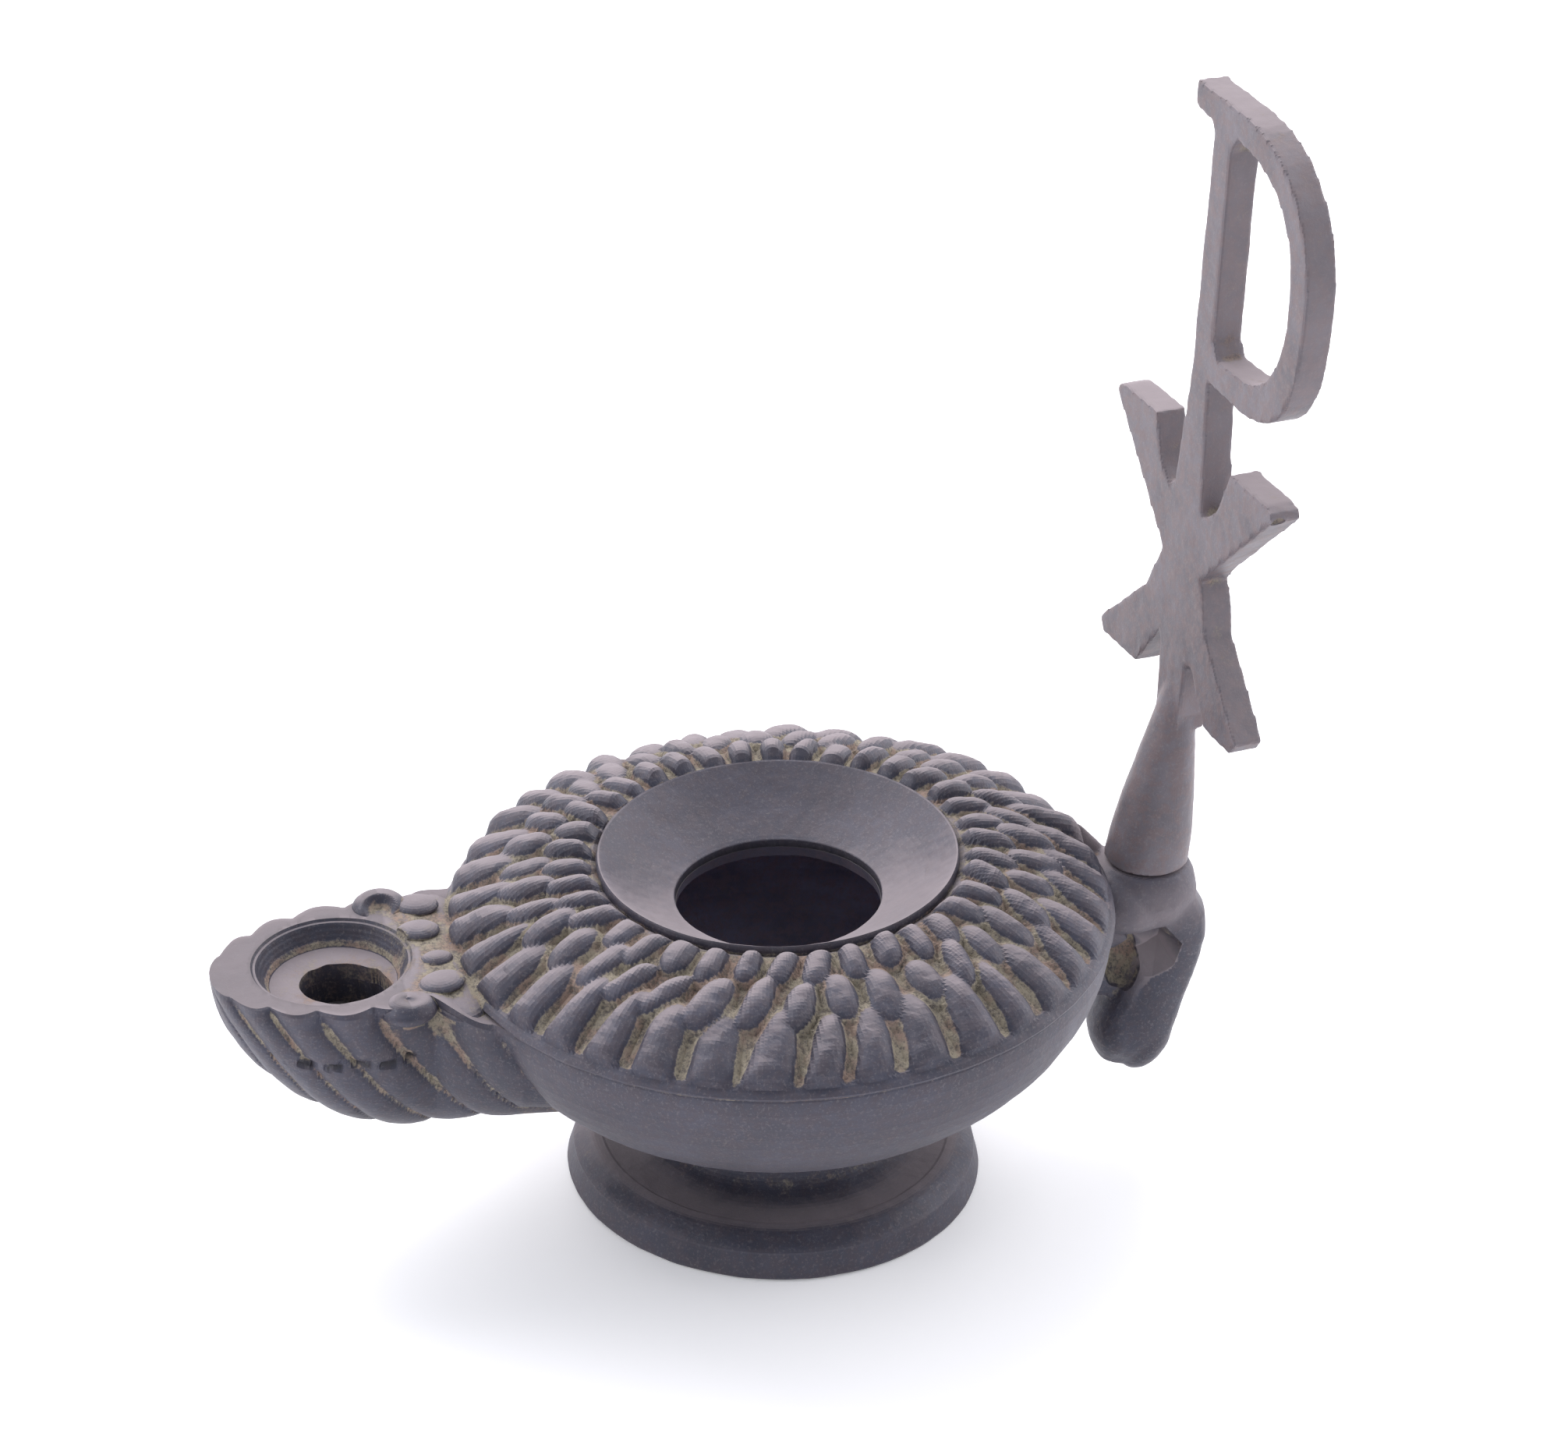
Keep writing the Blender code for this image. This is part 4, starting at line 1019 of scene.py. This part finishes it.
def chi_half(shortfall):
    """One side of the X, from its upper crotch down; the shortfall narrows its lower arm."""
    foot = CHI_FOOT_HEIGHT
    head = foot + CHI_HEIGHT
    waist = foot + CHI_HEIGHT * 0.525
    top_crotch = (CROTCH_ASIDE, head - CHI_CROTCH)
    low_crotch = (CROTCH_ASIDE, foot + CHI_CROTCH * 0.9)
    top_inner = (CHI_GAP, head)
    low_inner = (CHI_GAP, foot)
    pull = (CHI_GAP * 0.78, head - CHI_CROTCH * 0.72)
    push = (CHI_GAP * 0.72, foot + CHI_CROTCH * 0.42)
    line = [top_crotch, *curve_points(top_crotch, pull, pull, top_inner, 10)]
    line += [(CHI_SPREAD * 0.90, head), (CHI_SPREAD * 0.98, head - 0.0005), (CHI_SPREAD, head - 0.0014)]
    line += [(CHI_WAIST + 0.0012, waist + 0.0016), (CHI_WAIST, waist)]
    line.append((CHI_WAIST + 0.0008, waist - 0.0017))
    line += [(CHI_SPREAD * 0.42 - shortfall * 0.4, foot + CHI_HEIGHT * 0.335)]
    line += [(CHI_SPREAD * 0.97 - shortfall, foot + 0.0016), (CHI_SPREAD * 0.91 - shortfall, foot)]
    line += [low_inner, *curve_points(low_inner, push, push, low_crotch, 10)]
    return line


def rho_outer():
    """The bowl of the P, from its lower crotch on the stem round to the top of the stem."""
    head = FINIAL_HEIGHT
    low = head - RHO_DROP
    stem = STEM_WIDTH / 2
    widest = (RHO_REACH, low + RHO_DROP * 0.47)
    bottom = (stem + 0.0072, low)
    top = (stem + 0.0024, head - 0.0004)
    line = [(stem, low + 0.0004), bottom]
    lower_pulls = (RHO_REACH * 0.86, low - 0.0002), (RHO_REACH, low + RHO_DROP * 0.15)
    upper_pulls = (RHO_REACH, head - RHO_DROP * 0.25), (RHO_REACH * 0.72, head - 0.0012)
    line += curve_points(bottom, *lower_pulls, widest, 18) + curve_points(widest, *upper_pulls, top, 22)
    return line


def rho_counter():
    """The opening inside the P."""
    head = FINIAL_HEIGHT - RHO_BAND
    low = FINIAL_HEIGHT - RHO_DROP + RHO_BAND
    left = STEM_WIDTH / 2
    right = RHO_REACH - RHO_BAND
    widest = (right, between(low, head, 0.46))
    start = (left + 0.0070, low + 0.0001)
    end = (left + 0.0042, head - 0.0003)
    line = [(left + 0.0003, low + 0.0018), (left + 0.0016, low), start]
    lower_pulls = (right * 0.84, low + 0.0004), (right, between(low, head, 0.18))
    upper_pulls = (right, between(low, head, 0.80)), (right * 0.68, head - 0.0014)
    line += curve_points(start, *lower_pulls, widest, 16) + curve_points(widest, *upper_pulls, end, 18)
    line += [(left + 0.0012, head), (left, head - 0.0016)]
    return line


def stem_left():
    """The stem's other side, from the serif at its head to the upper crotch of the X."""
    half = STEM_WIDTH / 2
    head = FINIAL_HEIGHT
    line = [(-SERIF_REACH, head), (-SERIF_REACH, head - SERIF_DEPTH * 0.85)]
    line.append((-SERIF_REACH * 0.76, head - SERIF_DEPTH * 1.05))
    line.append((-half - 0.0009, head - SERIF_DEPTH * 1.12))
    return line + [(-half, head - SERIF_DEPTH * 1.5), (-half, head - RHO_DROP)]


def make_plate_mesh():
    """The flat monogram: offsets to the viewer's right, heights above the seat, front to -X."""
    right = chi_half(CHI_SHORT_ARM)
    left = [(-offset, height) for offset, height in reversed(chi_half(0.0))]
    low = CONE_HEIGHT * 0.72
    half = STEM_FOOT_WIDTH / 2
    outline = right + [(half, low), (-half, low)] + left + stem_left()[::-1] + rho_outer()[::-1]
    sheet = bpy.data.curves.new("monogram", "CURVE")
    sheet.dimensions = "2D"
    sheet.fill_mode = "BOTH"
    sheet.extrude = PLATE_THICKNESS / 2
    for line in (outline, rho_counter()):
        spline = sheet.splines.new("POLY")
        spline.points.add(len(line) - 1)
        spline.use_cyclic_u = True
        for point, (offset, height) in zip(spline.points, line):
            point.co = (offset, height, 0.0, 1.0)
    drawing = bpy.data.objects.new("monogram", sheet)
    mesh = bpy.data.meshes.new_from_object(drawing)
    bpy.data.objects.remove(drawing)
    form = bmesh.new()
    form.from_mesh(mesh)
    bmesh.ops.remove_doubles(form, verts=form.verts, dist=0.000002)
    for corner in form.verts:
        offset, height, depth = corner.co
        corner.co = (CONE_SETBACK - depth, -offset, height)
    bmesh.ops.recalc_face_normals(form, faces=form.faces)
    return finished("monogram", form)


def make_cone_mesh():
    """The round cone that flattens into the plate's stem as it rises."""
    rings = []
    for share in np.arange(25) / 24:
        round_radius = CONE_RADIUS * (1 - 0.12 * share - 0.42 * share**1.7)
        height = between(JOINT_GAP, CONE_HEIGHT, share)
        deep = between(round_radius, PLATE_THICKNESS * 0.42, share**2.2)
        wide = between(round_radius, STEM_FOOT_WIDTH * 0.46, share**2.2)
        middle = CONE_SETBACK * share
        rings.append([Vector((c * deep + middle, s * wide, height)) for c, s in around(48)])
    return lofted("finial_cone", rings)


seat_turn = Matrix.Rotation(FINIAL_TURN, 4, "Z") @ Matrix.Rotation(FINIAL_LEAN, 4, "X")
finial_seat = lamp_axis @ Matrix.Translation((SEAT_REACH, 0.0, SEAT_HEIGHT)) @ seat_turn
# The finial's high gain makes its faces and edges that look up and back much paler: rubbing, and painted
# light.
rubbed_and_painted_light = bronze("rubbed_and_painted_light_bronze", (0.112, 0.100, 0.114, 1.0), 0.75, 1.9)
finial_parts = [shape("plate", make_plate_mesh(), finial_seat)]
finial_parts.append(shape("cone", make_cone_mesh(), finial_seat))
lumps = ((1, 0.0, 0.0502, 0.0012), (1, 0.0002, 0.0484, 0.0009), (-1, 0.0, 0.0300, 0.0013))
for side, out, height, half in lumps:
    centre = (CONE_SETBACK - 0.0006, side * CROTCH_ASIDE + out, height)
    finial_parts.append(egg("lump", finial_seat, centre, (half * 1.2, half, half), sides=16))
finial = joined("chi_rho_cast", finial_parts)
remeshed(finial, 2)
notch_spot = (CONE_SETBACK - 0.0009, -CHI_SPREAD, CHI_FOOT_HEIGHT + CHI_HEIGHT - 0.0018)
notch = egg("notch", finial_seat, notch_spot, (0.0010, 0.0011, 0.0008), sides=20)
combine(finial, "DIFFERENCE", [notch])
roughened(finial, 0.00009, 0.00003)
finial.data.materials.clear()
finial.data.materials.append(rubbed_and_painted_light)


def finial_dust_and_painted_light(spots, normals, deep):
    """Earth, and paler scratches that are partly painted highlight, stay on the rough edges, more than
    on the rubbed faces.
    """
    low = np.clip((SEAT_HEIGHT + 0.004 - spots[:, 2]) / 0.004, 0.0, 1.0)
    across = np.abs(normals @ np.array(finial_seat.to_3x3().col[0]))
    edge = (across < 0.5) * (spots[:, 2] > SEAT_HEIGHT + CONE_HEIGHT * 0.8)
    dust = np.clip(deep, -0.5, 1.0) * 0.7 + low * 0.25 + edge * 0.20
    return dust, edge * -0.42 * (normals[:, 2] > -0.5)


store_marks_and_painted_light(finial, 30, finial_dust_and_painted_light)
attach(finial, "root")
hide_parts("chi_rho_finial")

# The photographer's table and lamps: a white floor that glows a little, one soft light on each side,
# and the strongest above and behind.
bpy.ops.mesh.primitive_plane_add(size=6.0, location=(0.0, 0.0, -0.0002))
floor = bpy.context.object
floor.name = "floor"
paper = bpy.data.materials.new("paper")
paper.use_nodes = True
paper_sockets = paper.node_tree.nodes["Principled BSDF"].inputs
paper_sockets["Base Color"].default_value = (0.93, 0.925, 0.94, 1.0)
paper_sockets["Roughness"].default_value = 0.9
paper_sockets["Emission Color"].default_value = (1.0, 1.0, 1.0, 1.0)
paper_sockets["Emission Strength"].default_value = 0.22
floor.data.materials.append(paper)


def soft_lamp(name, spot, size, power, colour):
    """A square light that looks at the lamp."""
    data = bpy.data.lights.new(name, "AREA")
    data.shape = "SQUARE"
    data.size = size
    data.energy = power
    data.color = colour
    held = linked(name, data)
    held.location = spot
    aim = Vector((0.0, 0.0, 0.04)) - Vector(spot)
    held.rotation_euler = aim.to_track_quat("-Z", "Y").to_euler()


soft_lamp("left", (-0.90, 0.25, 0.55), 1.1, 7.0, (1.0, 0.97, 0.98))
soft_lamp("right", (0.90, 0.20, 0.55), 1.1, 9.5, (1.0, 0.97, 0.97))
soft_lamp("behind", (-0.05, 0.75, 0.80), 1.2, 16.0, (1.0, 0.98, 0.99))

world = bpy.data.worlds.new("studio")
world.use_nodes = True
sky = world.node_tree.nodes["Background"].inputs
sky["Color"].default_value = (0.86, 0.91, 1.0, 1.0)
sky["Strength"].default_value = 0.55
scene = bpy.context.scene
scene.world = world
scene.view_settings.view_transform = "Standard"

view = bpy.data.cameras.new("photo_camera")
view.lens = 89.495
view.sensor_width = 36.0
view.clip_start = 0.01
watcher = linked("photo_camera", view)
aim = Matrix.Rotation(radians(-15.0), 4, "Z") @ Matrix.Rotation(radians(61.36), 4, "X")
aim = aim @ Matrix.Rotation(radians(1.797), 4, "Z")
watcher.matrix_world = Matrix.Translation((-0.09965, -0.39777, 0.28866)) @ aim
scene.camera = watcher
